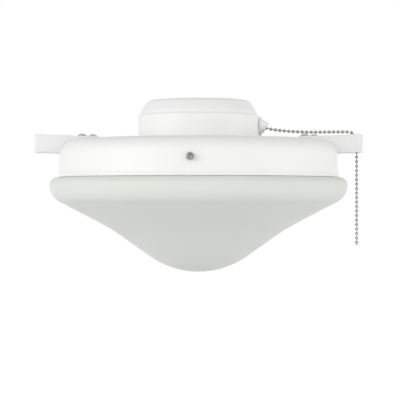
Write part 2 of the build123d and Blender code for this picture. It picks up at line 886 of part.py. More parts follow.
def pin_between(here, there, short_by):
    """A pin from one bead's centre towards the next, short of it by a length."""
    way = (there - here).normalized()
    length = (there - here).length - short_by
    pin = extrude(RegularPolygon(pin_radius, 6), length)
    return Plane(origin=here, z_dir=way).location * pin


def make_chain():
    """The pull chain: its run to the arm, the bend over the hole, the drop and the end."""
    corners = [Vector(x, 0, z) for x, z in chain_route]
    corners[-1] = Vector(bend_x, 0, chain_z)
    path = FilletPolyline(*corners, radius=route_radii(corners))
    print("chain arcs", [round(radius, 1) for radius in route_radii(corners)])
    bend_length = bend_radius * pi / 2
    drop_beads = int((bend_z - chain_end_z) / bead_pitch)
    first_drop_z = chain_end_z + drop_beads * bead_pitch
    above = first_drop_z - bend_z
    drop = [Vector(drop_x, 0, first_drop_z - bead * bead_pitch) for bead in range(drop_beads)]
    bend = []
    for bead in range(bend_beads):
        angle = ((bead + 1) * bead_pitch + above) / bend_radius
        bend.append(Vector(bend_x + bend_radius * cos(angle), 0, bend_z + bend_radius * sin(angle)))
    back = (bend_beads + 1) * bead_pitch + above - bend_length
    run_beads = int((path.length - back) / bead_pitch) + 1
    course = [
        path.position_at(path.length - back - bead * bead_pitch, position_mode=PositionMode.LENGTH)
        for bead in range(run_beads)
    ]
    end = Vector(drop_x, 0, chain_end_z)
    reach = bead_radius + pin_gap
    nodes["chain_run"] = beads_along(course) + pin_between(course[0], bend[-1], reach)
    nodes["chain_wrap"] = beads_along(wrapped_beads(course[-1]))
    nodes["chain_bend"] = beads_along(bend) + pin_between(bend[0], drop[0], reach)
    nodes["chain_drop"] = beads_along(drop)
    barrel = end_bead_length / 2
    flat = end_bead_radius / 2
    shoulder = barrel - (end_bead_radius - flat)
    fitting = lathe(
        (0, -barrel),
        (flat, -barrel),
        (end_bead_radius, -shoulder),
        (end_bead_radius, shoulder),
        (flat, barrel),
        (0, barrel),
    )
    fitting += pin_between(Vector(0, 0, 0), Vector(0, 0, bead_pitch), bead_radius)
    nodes["chain_end"] = Pos(end) * fitting
    print("chain beads", len(course), len(bend), len(drop))
    print("chain length", round(path.length + bend_length + bend_z - chain_end_z, 1))


def wrapped_beads(last):
    """The places of the beads on the drum, behind the last bead of the run."""
    drum_z = switch_z + drum_radius
    places = []
    for bead in range(wrap_beads):
        angle = ((bead + 1) * bead_pitch - (last.X - drum_x)) / drum_radius
        x = drum_x - drum_radius * sin(angle)
        places.append(Vector(x, 0, drum_z - drum_radius * cos(angle)))
    return places


def make_wiring():
    """The wire nuts and the leads between the lamp holders, the stem and the switch."""
    cup = lathe(
        (wire_nut_bore_radius, 0),
        (wire_nut_radius, 0),
        (wire_nut_radius, wire_nut_skirt),
        (wire_nut_tip_radius, wire_nut_length),
        (0, wire_nut_length),
        (0, wire_nut_depth),
        (wire_nut_bore_radius, wire_nut_depth),
    )
    lamps = (nut_mouth_x, -nut_mouth_y, nut_mouth_z)
    neutral = (nut_mouth_x, nut_mouth_y, nut_mouth_z)
    inward = (-1, 0, 0)
    nodes["wire_nut_lamps"] = facing(*lamps, inward) * cup
    nodes["wire_nut_neutral"] = facing(*neutral, inward) * cup
    blade_x = case_outer_x - case_length - cover_height - terminal_reach / 2
    blade_z = terminal_z() + terminal_sheet / 2 + lead_radius
    supply = (supply_nut_x, supply_nut_y, blade_z - lead_above)
    nodes["wire_nut_supply"] = facing(*supply, (0, 1, 0)) * cup
    window_z = -hickey_boss_height - hickey_window_height / 2
    locknut_z = pan_under_z - bracket_sheet - lock_washer_height - locknut_height
    lead_exit_z = lamp_z + lead_exit_rise
    for side, name in ((1, "right"), (-1, "left")):
        for front, colour in ((-1, "black"), (1, "white")):
            x, y = side * lead_offset, front * lead_offset
            end_y = front * (nut_mouth_y + side * lead_offset)
            end_z = nut_mouth_z - lead_below
            exit_x = side * (tab_outer_x - lead_exit_run)
            nodes[f"{colour}_lead_{name}"] = lead(
                (side * (tab_outer_x - seat_gap), front * lead_exit_y, lead_exit_z),
                (exit_x, front * (lead_exit_y - lead_exit_slant), lead_exit_z + lead_exit_slant),
                (x, y, locknut_z - lead_stem_drop),
                (x, y, window_z - lead_window_drop),
                (x, front * nut_mouth_y / 2, end_z),
                (x, end_y, end_z),
                (nut_mouth_x - lead_grip, end_y, end_z),
            )
    over_z = nut_mouth_z + lead_above
    grip_x = nut_mouth_x - lead_grip
    nodes["switch_lead_lamps"] = lead(
        (blade_x, -terminal_y, blade_z),
        (blade_x - switch_lead_run, -terminal_y, blade_z),
        (grip_x + switch_lead_end_run, -nut_mouth_y, over_z),
        (grip_x, -nut_mouth_y, over_z),
    )
    aside = blade_x - switch_lead_run - supply_nut_x
    nodes["switch_lead_supply"] = lead(
        (blade_x, terminal_y, blade_z),
        (blade_x - switch_lead_run, terminal_y, blade_z),
        (supply_nut_x, terminal_y + aside, blade_z),
        (supply_nut_x, supply_nut_y + lead_grip, blade_z),
    )


nodes["switch_cap"] = make_cap()
nodes["pan"] = make_pan()
nodes["glass_bowl"] = spin(sheet((neck_radius, neck_top_z), -90, bowl_moves(), glass))
nodes["arm_right"] = make_arm()
nodes["arm_left"] = other_side(nodes["arm_right"])
nodes["hickey"] = make_hickey()
make_stem()
make_lamp_holders()
make_fasteners()
make_switch()
nodes["bell_guide"] = make_bell()
make_chain()
make_wiring()

os.makedirs("parts", exist_ok=True)
for name, part in nodes.items():
    export_step(part, f"parts/{name}.step")
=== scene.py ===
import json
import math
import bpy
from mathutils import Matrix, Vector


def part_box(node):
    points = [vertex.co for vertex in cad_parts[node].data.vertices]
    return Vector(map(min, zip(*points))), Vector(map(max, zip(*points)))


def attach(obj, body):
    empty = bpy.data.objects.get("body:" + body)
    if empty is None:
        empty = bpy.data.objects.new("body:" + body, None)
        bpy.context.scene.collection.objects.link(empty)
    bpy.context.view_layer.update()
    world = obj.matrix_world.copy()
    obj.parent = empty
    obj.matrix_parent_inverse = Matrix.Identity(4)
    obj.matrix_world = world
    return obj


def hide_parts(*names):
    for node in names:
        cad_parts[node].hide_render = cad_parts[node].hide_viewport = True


bl_info = {
    "name": "Ceiling fan light kit",
    "version": (1, 0, 0),
    "blender": (4, 5, 0),
    "location": "View3D > Sidebar > Light kit",
    "description": "Dresses a ceiling fan's light kit, from its spun cap to its pull chain",
    "category": "Add Mesh",
}

from functools import cache

import bmesh
import bpy
from mathutils import Matrix, Vector

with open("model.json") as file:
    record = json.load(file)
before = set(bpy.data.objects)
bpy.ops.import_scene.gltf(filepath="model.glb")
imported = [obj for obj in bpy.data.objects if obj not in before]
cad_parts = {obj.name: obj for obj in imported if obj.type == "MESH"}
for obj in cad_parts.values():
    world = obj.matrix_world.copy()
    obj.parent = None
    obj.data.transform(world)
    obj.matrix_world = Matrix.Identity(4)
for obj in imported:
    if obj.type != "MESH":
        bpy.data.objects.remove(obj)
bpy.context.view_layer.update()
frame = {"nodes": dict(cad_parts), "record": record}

# One millimetre in the scene's unit, the metre
MM = 0.001

# Points that lie nearer to each other than this are merged
NEAR = 0.001 * MM

# Corners of the line that the pull chain follows, from the drum over the arm's hole
# to the middle of its end piece
CHAIN_ROUTE = [
    (0.036, 0, -0.0241),
    (0.0585, 0, -0.0241),
    (0.067, 0, -0.0269),
    (0.084, 0, -0.0289),
    (0.106, 0, -0.0297),
    (0.130, 0, -0.02935),
    (0.1491, 0, -0.02935),
    (0.1491, 0, -0.0484),
    (0.1491, 0, -0.1338),
]

# Corners of each lead's route in millimetres. A lamp's leads go from its holder up the stem and
# out to their wire nuts: side is 1 for the right lamp, hand 1 for the white lead
LEAD_ROUTES = {
    f"{skin}_lead_{lamp}": [
        (side * 13.7, hand * 13, -68),
        (side * 2, hand * 11, -66),
        (side * 1.4, hand * 1.4, -56.6),
        (side * 1.4, hand * 1.4, -22.5),
        (side * 1.4, hand * 15, -21.7),
        (side * 1.4, hand * nut_row, -21.7),
        (-15, hand * nut_row, -21.7),
    ]
    for lamp, side, nut_row in (("right", 1, 31.4), ("left", -1, 28.6))
    for skin, hand in (("black", -1), ("white", 1))
}
LEAD_ROUTES["switch_lead_lamps"] = [
    (20.4, -5, -14.207),
    (13.6, -5, -14.207),
    (-5, -30, -19.1),
    (-15, -30, -19.1),
]
LEAD_ROUTES["switch_lead_supply"] = [
    (20.4, 5, -14.207),
    (13.6, 5, -14.207),
    (9.6, 9, -14.207),
    (9.6, 24, -14.207),
]

# The way from each wire nut's mouth to its closed end
WIRE_NUTS = {
    "wire_nut_lamps": (-1, 0, 0),
    "wire_nut_neutral": (-1, 0, 0),
    "wire_nut_supply": (0, 1, 0),
}


def length(name, default_mm, description):
    """A length that a user would change, kept in metres."""
    return bpy.props.FloatProperty(
        name=name, description=description, default=default_mm * MM, unit="LENGTH", precision=4
    )


def angle(name, default_degrees, description):
    """An angle that a user would change."""
    return bpy.props.FloatProperty(
        name=name, description=description, default=math.radians(default_degrees), subtype="ANGLE"
    )


def count(name, default, description):
    """A number of pieces or faces that a user would change."""
    return bpy.props.IntProperty(name=name, description=description, default=default, min=1)


def level(name, default, description, unit="NONE"):
    """A strength that a user would change."""
    return bpy.props.FloatProperty(name=name, description=description, default=default, unit=unit)


def linear(hex_colour):
    """An sRGB hex colour as the linear values that shaders take."""
    channels = [int(hex_colour[start:start + 2], 16) / 255 for start in (1, 3, 5)]
    return tuple(c / 12.92 if c <= 0.04045 else ((c + 0.055) / 1.055) ** 2.4 for c in channels)


def colour(name, hex_colour, description):
    """A colour that a user would change."""
    return bpy.props.FloatVectorProperty(
        name=name, description=description, default=linear(hex_colour), subtype="COLOR", size=3
    )


class CapSettings(bpy.types.PropertyGroup):
    wall: length("Wall", 1.0, "Thickness of the spun steel")
    hole_radius: length("Hole radius", 7.6, "Hole for the hickey in the dished seat")
    crown_radius: length("Crown radius", 7.0, "Bend between the flat top and the brow")
    brow_radius: length("Brow radius", 12.0, "Bend between the brow and its skirt")
    draft: angle("Draft", 1, "Lean of the wall")


class PanSettings(bpy.types.PropertyGroup):
    wall: length("Wall", 1.0, "Thickness of the spun steel")
    hole_radius: length("Hole radius", 5.4, "Hole for the threaded stem")
    radius: length("Radius", 130.9, "Outside radius above the lip")
    shoulder_radius: length("Shoulder radius", 14.0, "Bend between the top and the side")
    lip_bend_radius: length("Lip bend radius", 1.6, "Bends that set the lip outwards")
    lip_height: length("Lip height", 2.4, "Straight part of the lip")
    lip_angle: angle("Lip angle", 34, "Turn of the lip's bends")
    draft: angle("Draft", 2, "Lean of the side")


class GlassSettings(bpy.types.PropertyGroup):
    wall: length("Wall", 3.5, "Thickness of the glass")
    neck_radius: length("Neck radius", 125.5, "Outside radius of the neck inside the pan")
    neck_height: length("Neck height", 22.0, "Height of the neck above the rim")
    neck_fillet: length("Neck fillet", 2.5, "Bend at the foot of the neck")
    rim_top_radius: length("Rim top radius", 7.0, "Upper bend of the rolled rim")
    rim_low_radius: length("Rim low radius", 18.0, "Lower bend of the rolled rim")
    slope: angle("Slope", 27.5, "Lean of the wall under the rim")
    ogee_radius: length("Ogee radius", 190.0, "Hollow bend half way down")
    ogee_turn: angle("Ogee turn", 8, "Turn of the hollow bend")
    belly_radius: length("Belly radius", 79.0, "Round bottom of the bowl")
    melted_edge: length("Melted edge", 0.9, "Rounding of the neck's edge and the bends")


class MetalworkSettings(bpy.types.PropertyGroup):
    arm_edge: length("Arm edge", 0.45, "Rounding of the arms' pressed edges")
    cut_edge: length("Cut edge", 0.12, "Rounding of turned and punched edges")
    round_faces: count("Faces round", 256, "Faces round a large spun piece")
    small_faces: count("Faces round small", 96, "Faces round a small turned piece")


class ScrewSettings(bpy.types.PropertyGroup):
    faces: count("Faces round", 48, "Faces round a screw")
    radius: length("Radius", 2.0, "Outside radius of the screws' thread")
    pitch: length("Pitch", 0.79, "Distance from one turn of the thread to the next")
    thread_depth: length("Thread depth", 0.35, "Height of the thread")
    foot_head_radius: length("Foot head radius", 4.1, "Head radius of the screws in the arms' feet")
    foot_head_height: length("Foot head height", 2.3, "Head height of the screws in the arms' feet")
    foot_dome: length("Foot head dome", 1.7, "Height of the dome on those heads")
    foot_length: length("Foot length", 9.2, "Length under the head")
    glass_head_radius: length("Glass head radius", 3.3, "Head radius of the screws that hold the glass")
    glass_head_height: length("Glass head height", 3.6, "Head length of the screws that hold the glass")
    glass_dome: length("Glass head dome", 0.7, "Height of the dome on those heads")
    slot_width: length("Slot width", 1.0, "Width of the screwdriver slot")
    slot_depth: length("Slot depth", 1.1, "Depth of the screwdriver slot")
    slot_turn: angle("Slot turn", 35, "Turn of the glass screws' slots")
    glass_height: length("Glass screw height", -55.8, "Height of the glass screws' axes")
    glass_turn: angle("Glass screw turn", -3.1, "Turn of the first glass screw from the front")
    glass_seat: length("Glass screw seat", 132.073, "Distance of the head's underside from the axis")
    glass_length: length("Glass screw length", 6.273, "Length under the head")
    foot_near: length("Near foot screw", 99.9, "Distance of the nearer foot screw from the axis")
    foot_spacing: length("Foot screw spacing", 9.4, "Distance of the pair along the arm")
    foot_aside: length("Foot screw aside", 6.2, "Distance of each from the arm's middle line")


class LampSettings(bpy.types.PropertyGroup):
    bulb_radius: length("Bulb radius", 24.0, "Radius of the lamp's round end")
    neck_radius: length("Neck radius", 12.6, "Radius where the glass enters the base")
    flare_radius: length("Flare radius", 30.0, "Bend from the neck outwards")
    flare_angle: angle("Flare angle", 28, "Lean of the lamp's side")
    wall: length("Wall", 0.9, "Thickness of the lamp's glass")
    thread_pitch: length("Thread pitch", 3.63, "Pitch of the lamp's rolled thread")
    thread_depth: length("Thread depth", 0.5, "Height of the lamp's rolled thread")
    shell_depth: length("Shell thread depth", 0.3, "Height of the thread rolled into the shell")
    thread_faces: count("Faces round a thread", 72, "Faces round a rolled thread")


class WiringSettings(bpy.types.PropertyGroup):
    lead_radius: length("Lead radius", 1.0, "Outside radius of a lead's insulation")
    nut_radius: length("Nut radius", 5.4, "Radius of a wire nut's skirt")
    nut_tip_radius: length("Nut tip radius", 2.6, "Radius of a wire nut's closed end")
    nut_length: length("Nut length", 20.0, "Length of a wire nut")
    nut_bore: length("Nut bore", 3.3, "Radius of a wire nut's mouth")
    ribs: count("Ribs", 10, "Ribs round a wire nut")
    rib_depth: length("Rib depth", 0.5, "Depth of the grooves between the ribs")


class BellSettings(bpy.types.PropertyGroup):
    flange_radius: length("Flange radius", 8.8, "Radius of the flange against the cap")
    flange_length: length("Flange length", 2.2, "Thickness of the flange")
    saddle_depth: length("Saddle depth", 0.8, "How far the flange's sides reach round the cap's wall")
    bore_radius: length("Bore radius", 4.85, "Radius of the bore that takes the bushing")
    bore_depth: length("Bore depth", 2.8, "Depth of that bore")
    root_radius: length("Root radius", 6.9, "Radius of the cone at the flange")
    tip_radius: length("Tip radius", 2.8, "Radius of the cone at its tip")
    cut_back: length("Cut back", 4.2, "How far the slanted cut runs back")
    cut_drop: length("Cut drop", 4.7, "How far the slanted cut drops below the axis")
    slot_radius: length("Slot radius", 2.3, "Radius of the slot's round ends")
    slot_drop: length("Slot drop", 2.8, "Drop of the slot's lower end")


class ChainSettings(bpy.types.PropertyGroup):
    bead_radius: length("Bead radius", 1.6, "Radius of a bead")
    pitch: length("Pitch", 4.23, "Distance from one bead to the next")
    pin_radius: length("Pin radius", 0.42, "Radius of the pins between beads")
    end_radius: length("End radius", 1.75, "Radius of the end piece's bead")
    end_tip_radius: length("End tip radius", 0.75, "Radius of the tip under that bead")
    end_faces: count("Faces round", 32, "Faces round the end piece")
    drop_beads: count("Beads in the drop", 23, "Beads above the end piece")
    bend_beads: count("Beads in the bend", 2, "Beads over the arm's hole")
    run_beads: count("Beads in the run", 25, "Beads between the switch and the bend")


class FinishSettings(bpy.types.PropertyGroup):
    enamel: colour("Enamel", "#F5F5F4", "White enamel of the cap and the pan")
    arm_enamel: colour("Arm enamel", "#EDEDEC", "Enamel of the arms")
    glass: colour("Glass", "#E2E4DF", "Opal glass of the bowl")
    nickel: colour("Nickel", "#A8A6A2", "Nickel plate of the chain and the bushing")
    # The glass screws' darker nickel is a painted reflection of a dark room in their heads
    painted_dark_reflection: colour("Painted dark reflection", "#85827F", "Tarnished plate of the glass screws")
    bell: colour("Bell", "#E5E4E2", "Turned metal of the bell guide")


class StageSettings(bpy.types.PropertyGroup):
    lens: level("Lens", 145.8, "Focal length on a 36 mm sensor", "CAMERA")
    camera_x: length("Camera across", 1.4, "Place of the camera beside the axis")
    camera_y: length("Camera distance", -1526, "Place of the camera in front of the axis")
    camera_z: length("Camera height", -93.6, "Height of the camera, which looks level")
    floor_z: length("Floor height", -1700, "Height of the floor, low enough to look up at the glass")
    floor_glow: level("Floor glow", 0.8, "How far the floor is white where it is seen")
    front_power: level("Front lamp", 13, "Power of the low lamp in front", "POWER")
    room_light: level("Room light", 1.0, "Strength of the even light from the sides")
    ceiling_light: level("Ceiling light", 0.2, "Strength of the even light overhead")
    key_power: level("Key lamp", 33, "Power of the large lamp on the left", "POWER")
    fill_power: level("Fill lamp", 24, "Power of the large lamp on the right", "POWER")


SETTINGS = {
    "kit_cap": CapSettings,
    "kit_pan": PanSettings,
    "kit_glass": GlassSettings,
    "kit_metalwork": MetalworkSettings,
    "kit_screws": ScrewSettings,
    "kit_lamps": LampSettings,
    "kit_wiring": WiringSettings,
    "kit_bell": BellSettings,
    "kit_chain": ChainSettings,
    "kit_finish": FinishSettings,
    "kit_stage": StageSettings,
}


def add_node(tree, kind, inputs=None, **settings):
    """Adds a node with its settings. An input takes a value, an output or a node's first output."""
    made = tree.nodes.new(kind)
    for name, value in settings.items():
        setattr(made, name, value)
    for name, value in (inputs or {}).items():
        if isinstance(value, bpy.types.Node):
            value = value.outputs[0]
        if isinstance(value, bpy.types.NodeSocket):
            tree.links.new(value, made.inputs[name])
        else:
            made.inputs[name].default_value = value
    return made


def blank_tree(holder):
    """The emptied shader nodes of a material or a world."""
    holder.use_nodes = True
    holder.node_tree.nodes.clear()
    return holder.node_tree


def surface(name, rgb, values, tone, gloss, relief, stretch=(1, 1, 1)):
    """A material that varies a little, as a made surface does.

    tone is the size of its patches in mm and how dark they get, gloss the size of the duller
    patches with the least and the most roughness, and relief the grain's size and depth in mm.
    """
    material = bpy.data.materials.new(name)
    tree = blank_tree(material)
    place = add_node(tree, "ShaderNodeTexCoord").outputs["Object"]
    laid = add_node(tree, "ShaderNodeMapping", {"Vector": place, "Scale": stretch})
    patches, dulled, grain = [
        add_node(
            tree, "ShaderNodeTexNoise", {"Vector": laid, "Scale": 1 / (size * MM), "Detail": 2.0}
        )
        for size in (tone[0], gloss[0], relief[0])
    ]
    ramp = add_node(tree, "ShaderNodeValToRGB", {"Fac": patches})
    dark, light = ramp.color_ramp.elements
    dark.position, light.position = 0.3, 0.7
    dark.color = (*[channel * tone[1] for channel in rgb], 1)
    light.color = (*rgb, 1)
    ends = {"To Min": gloss[1], "To Max": gloss[2]}
    roughness = add_node(tree, "ShaderNodeMapRange", {"Value": dulled, **ends})
    depth = {"Distance": relief[1] * MM, "Strength": 1.0}
    bump = add_node(tree, "ShaderNodeBump", {"Height": grain, **depth})
    inputs = {"Base Color": ramp, "Roughness": roughness, "Normal": bump, **values}
    shader = add_node(tree, "ShaderNodeBsdfPrincipled", inputs)
    add_node(tree, "ShaderNodeOutputMaterial", {"Surface": shader})
    return material


def make_paints_and_glass():
    """Enamel, opal and frosted glass, and porcelain, by the record's material slot."""
    finish = bpy.context.scene.kit_finish
    enamel = {"IOR": 1.5, "Specular IOR Level": 0.3, "Coat Weight": 0.08, "Coat Roughness": 0.25}
    made = {}
    # White enamel sprayed and baked on spun steel: it flows out nearly flat, with a satin gloss
    # that blurs its reflections and a faint orange peel of about 4 mm
    made["white_enamel"] = surface(
        "baked white enamel", finish.enamel, enamel, (60, 0.99), (25, 0.4, 0.44), (4, 0.006)
    )
    # The same enamel on pressed steel, a little thinner and duller
    arm_patches = (30, 0.985), (14, 0.44, 0.5), (3, 0.006)
    made["arm_enamel"] = surface(
        "baked enamel on pressed steel", finish.arm_enamel, enamel, *arm_patches
    )
    # Pressed opal glass, acid-dipped outside: light goes a few millimetres in, and its skin is
    # satin with a fine even tooth, drawn at 1 mm so that it shows
    opal = {
        "IOR": 1.5,
        "Specular IOR Level": 0.2,
        "Subsurface Weight": 0.3,
        "Subsurface Radius": (1.0, 1.0, 0.9),
        "Subsurface Scale": 3 * MM,
    }
    made["opal_glass"] = surface(
        "satin opal glass", finish.glass, opal, (70, 0.985), (20, 0.5, 0.56), (1, 0.004)
    )
    # Lamp glass coated inside with fine silica: it looks like smooth, glossy white glass
    frost = {
        "IOR": 1.5,
        "Subsurface Weight": 0.3,
        "Subsurface Radius": (1.0, 1.0, 0.95),
        "Subsurface Scale": MM,
    }
    made["lamp_frost"] = surface(
        "inside-frosted lamp glass", linear("#F4F3EF"), frost, (12, 0.98), (9, 0.14, 0.2), (6, 0.004)
    )
    # Electrical porcelain under a clear glaze, which pools and thins so that the white varies
    glaze = {"IOR": 1.5, "Coat Weight": 0.7, "Coat Roughness": 0.05}
    made["porcelain"] = surface(
        "glazed porcelain", linear("#EFEDE4"), glaze, (10, 0.95), (6, 0.26, 0.34), (3, 0.02)
    )
    return made


def make_metals():
    """Plated, rolled, drawn and turned metals, by the record's material slot."""
    finish = bpy.context.scene.kit_finish
    metal = {"Metallic": 1.0}
    rolled = (0.25, 1, 1)
    made = {}
    # Nickel plate, tumbled: it mirrors the room, softly, with a little wear in patches
    made["nickel"] = surface(
        "tumbled nickel plate", finish.nickel, metal, (2, 0.9), (3, 0.2, 0.28), (1, 0.006)
    )
    # The same plate on the glass screws, darker: this colour is a painted reflection of a dark room in
    # their heads, because the room here is white to gloss
    made["nickel_painted_dark"] = surface(
        "nickel plate, tarnished", finish.painted_dark_reflection, metal, (2, 0.8), (3, 0.3, 0.42), (1, 0.008)
    )
    # Zinc plate on steel, with its grey-blue cloudiness
    made["zinc_steel"] = surface(
        "zinc-plated steel", linear("#BDC0C4"), metal, (3, 0.86), (5, 0.32, 0.46), (1, 0.01)
    )
    # Steel left oiled and unplated, darker and duller in patches
    made["dark_steel"] = surface(
        "plain steel, oiled", linear("#B4B2B0"), metal, (2, 0.92), (3, 0.26, 0.34), (1, 0.004)
    )
    # Drawn aluminium with draw lines along it, drawn at 1 mm so that they show
    made["shell_metal"] = surface(
        "drawn aluminium", linear("#D9DADB"), metal, (4, 0.93), (5, 0.26, 0.36), (1, 0.008), rolled
    )
    # Rolled brass with faint mill lines
    made["contact_brass"] = surface(
        "rolled brass", linear("#D9BC77"), metal, (3, 0.88), (4, 0.26, 0.36), (1, 0.008), rolled
    )
    # Nickel silver turned on a lathe and left satin, with its tool marks round it
    bell_patches = (4, 0.96), (4, 0.74, 0.82), (5, 0.01)
    made["bell_metal"] = surface(
        "turned nickel silver, satin", finish.bell, metal, *bell_patches, (8, 1, 1)
    )
    return made


def make_plastics():
    """Moulded and extruded plastics, by the record's material slot."""
    # Every mould leaves a fine spark-eroded grain, drawn at 0.6 mm so that it shows, and an
    # extruded skin is smoother than that
    made = {}
    moulded = (8, 0.94), (5, 0.4, 0.48), (0.6, 0.01)
    extruded = (12, 0.95), (6, 0.3, 0.36), (1, 0.004)
    plastic = {"IOR": 1.5}
    made["switch_plastic"] = surface("moulded phenolic", linear("#1F1D1B"), plastic, *moulded)
    made["drum_plastic"] = surface("moulded nylon", linear("#D8D2C0"), plastic, *moulded)
    made["nut_plastic"] = surface("moulded polypropylene", linear("#D97A33"), plastic, *moulded)
    made["black_insulation"] = surface("black extruded vinyl", linear("#1B1B1D"), plastic, *extruded)
    made["white_insulation"] = surface("white extruded vinyl", linear("#EDECE8"), plastic, *extruded)
    return made


def slot_of(node):
    """The record's material slot of a CAD node."""
    for entry in frame["record"]["subparts"]:
        if entry["node"] == node:
            return entry["material_slot"]
    raise ValueError(f"{node} has no material slot")


def body_of(node):
    """The body that a CAD node moves with."""
    for body, nodes in frame["record"]["behaviour"]["bodies"].items():
        if node in nodes:
            return body
    raise ValueError(f"{node} is in no body")


@cache
def finishes():
    """Every material, by the record's material slot."""
    return {**make_paints_and_glass(), **make_metals(), **make_plastics()}


def new_object(name, mesh):
    """Puts a mesh in the scene at the origin."""
    piece = bpy.data.objects.new(name, mesh)
    bpy.context.scene.collection.objects.link(piece)
    return piece


def baked(piece):
    """Turns a piece with its modifiers into a plain mesh."""
    graph = bpy.context.evaluated_depsgraph_get()
    mesh = bpy.data.meshes.new_from_object(piece.evaluated_get(graph))
    piece.modifiers.clear()
    piece.data = mesh
    return piece


def outward(mesh):
    """Merges doubles, drops an edge left on the axis and points a closed mesh's faces outwards."""
    work = bmesh.new()
    work.from_mesh(mesh)
    bmesh.ops.remove_doubles(work, verts=work.verts, dist=2 * NEAR)
    bmesh.ops.delete(work, geom=[edge for edge in work.edges if edge.is_wire], context="EDGES")
    if work.calc_volume(signed=True) < 0:
        bmesh.ops.reverse_faces(work, faces=work.faces)
    work.to_mesh(mesh)
    work.free()


def smooth(mesh, sharp_angle=35):
    """Shades a mesh smooth, with creases where it turns sharply."""
    mesh.shade_smooth()
    mesh.set_sharp_from_angle(angle=math.radians(sharp_angle))


def softened(piece, edge, parts=2):
    """Rounds a piece's sharp edges."""
    bevel = piece.modifiers.new("edge", "BEVEL")
    bevel.width = edge
    bevel.segments = parts
    bevel.limit_method = "ANGLE"
    bevel.angle_limit = math.radians(38)
    baked(piece)
    smooth(piece.data)
    return piece


def stand_for(piece, node, finish=None):
    """Gives a piece the finish and the body of the node it stands for, and hides that node."""
    slot = slot_of(node)
    piece.data.materials.clear()
    piece.data.materials.append(finishes()[finish or slot])
    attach(piece, body_of(node))
    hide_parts(node)
    return piece


def dressed(node, edge):
    """A copy of a CAD node with merged faces and rounded edges, which stands for it."""
    mesh = frame["nodes"][node].data.copy()
    work = bmesh.new()
    work.from_mesh(mesh)
    bmesh.ops.remove_doubles(work, verts=work.verts, dist=NEAR)
    bmesh.ops.dissolve_limit(
        work, angle_limit=math.radians(0.5), verts=work.verts, edges=work.edges
    )
    work.to_mesh(mesh)
    work.free()
    piece = new_object("visual_" + node, mesh)
    return stand_for(softened(piece, edge), node)


def run(size):
    """A straight stretch of an outline."""
    return (size, 0)


def turn(radius, angle_turned):
    """An arc of an outline, to the left where the angle is positive."""
    return (radius, angle_turned)


def follow(start, heading, moves, aside=0.0):
    """The points of an outline drawn move by move, shifted aside to its left."""
    place = Vector(start) + aside * Vector((-math.sin(heading), math.cos(heading)))
    points = [place.copy()]
    for size, turned in moves:
        if not turned:
            place = place + size * Vector((math.cos(heading), math.sin(heading)))
            points.append(place.copy())
            continue
        radius = size - aside if turned > 0 else size + aside
        side = math.copysign(1, turned)
        centre = place + side * radius * Vector((-math.sin(heading), math.cos(heading)))
        steps = max(2, math.ceil(abs(turned) / math.radians(5)))
        for step in range(1, steps + 1):
            at = heading + turned * step / steps
            points.append(centre - side * radius * Vector((-math.sin(at), math.cos(at))))
        heading += turned
        place = points[-1].copy()
    return points


def travel(heading, moves):
    """How far an outline gets along each axis."""
    return follow((0, 0), heading, moves)[-1]


def sheet(start, heading, moves, wall):
    """The closed section of a sheet, which lies to the right of its outline."""
    return follow(start, heading, moves) + follow(start, heading, moves, -wall)[::-1]


def new_tree(name, **inputs):
    """Starts geometry nodes that take a geometry, these inputs and a material."""
    tree = bpy.data.node_groups.new(name, "GeometryNodeTree")
    for label, kind in {"geometry": "Geometry", **inputs, "material": "Material"}.items():
        tree.interface.new_socket(
            label.capitalize().replace("_", " "), in_out="INPUT", socket_type="NodeSocket" + kind
        )
    tree.interface.new_socket("Geometry", in_out="OUTPUT", socket_type="NodeSocketGeometry")
    return tree, add_node(tree, "NodeGroupInput").outputs


def end_tree(tree, geometry, material):
    """Ends geometry nodes: copies are made real, and the material is laid on."""
    whole = add_node(tree, "GeometryNodeRealizeInstances", {"Geometry": geometry})
    painted = add_node(tree, "GeometryNodeSetMaterial", {"Geometry": whole, "Material": material})
    add_node(tree, "NodeGroupOutput", {"Geometry": painted})
    return tree


@cache
def spin_tree():
    """Geometry nodes that turn a section, drawn as radius and height, about the Z axis."""
    tree, given = new_tree("Spun section", corners="Int", faces_round="Int")
    corners, faces = given["Corners"], given["Faces round"]
    rows = add_node(tree, "ShaderNodeMath", {0: corners, 1: 1}, operation="ADD")
    columns = add_node(tree, "ShaderNodeMath", {0: faces, 1: 1}, operation="ADD")
    grid = add_node(tree, "GeometryNodeMeshGrid", {"Vertices X": columns, "Vertices Y": rows})
    index = add_node(tree, "GeometryNodeInputIndex")
    row = add_node(tree, "ShaderNodeMath", {0: index, 1: rows}, operation="MODULO")
    corner = add_node(tree, "ShaderNodeMath", {0: row, 1: corners}, operation="MODULO")
    share = add_node(tree, "ShaderNodeMath", {0: index, 1: rows}, operation="DIVIDE")
    column = add_node(tree, "ShaderNodeMath", {0: share}, operation="FLOOR")
    part = add_node(tree, "ShaderNodeMath", {0: column, 1: faces}, operation="DIVIDE")
    angle_round = add_node(tree, "ShaderNodeMath", {0: part, 1: math.tau}, operation="MULTIPLY")
    section = {
        "Geometry": given["Geometry"],
        "Value": add_node(tree, "GeometryNodeInputPosition"),
        "Index": corner,
    }
    place = add_node(tree, "GeometryNodeSampleIndex", section, data_type="FLOAT_VECTOR")
    turned = add_node(
        tree,
        "ShaderNodeVectorRotate",
        {"Vector": place, "Angle": angle_round},
        rotation_type="Z_AXIS",
    )
    moved = add_node(tree, "GeometryNodeSetPosition", {"Geometry": grid, "Position": turned})
    merged = add_node(tree, "GeometryNodeMergeByDistance", {"Geometry": moved, "Distance": NEAR})
    return end_tree(tree, merged, given["Material"])


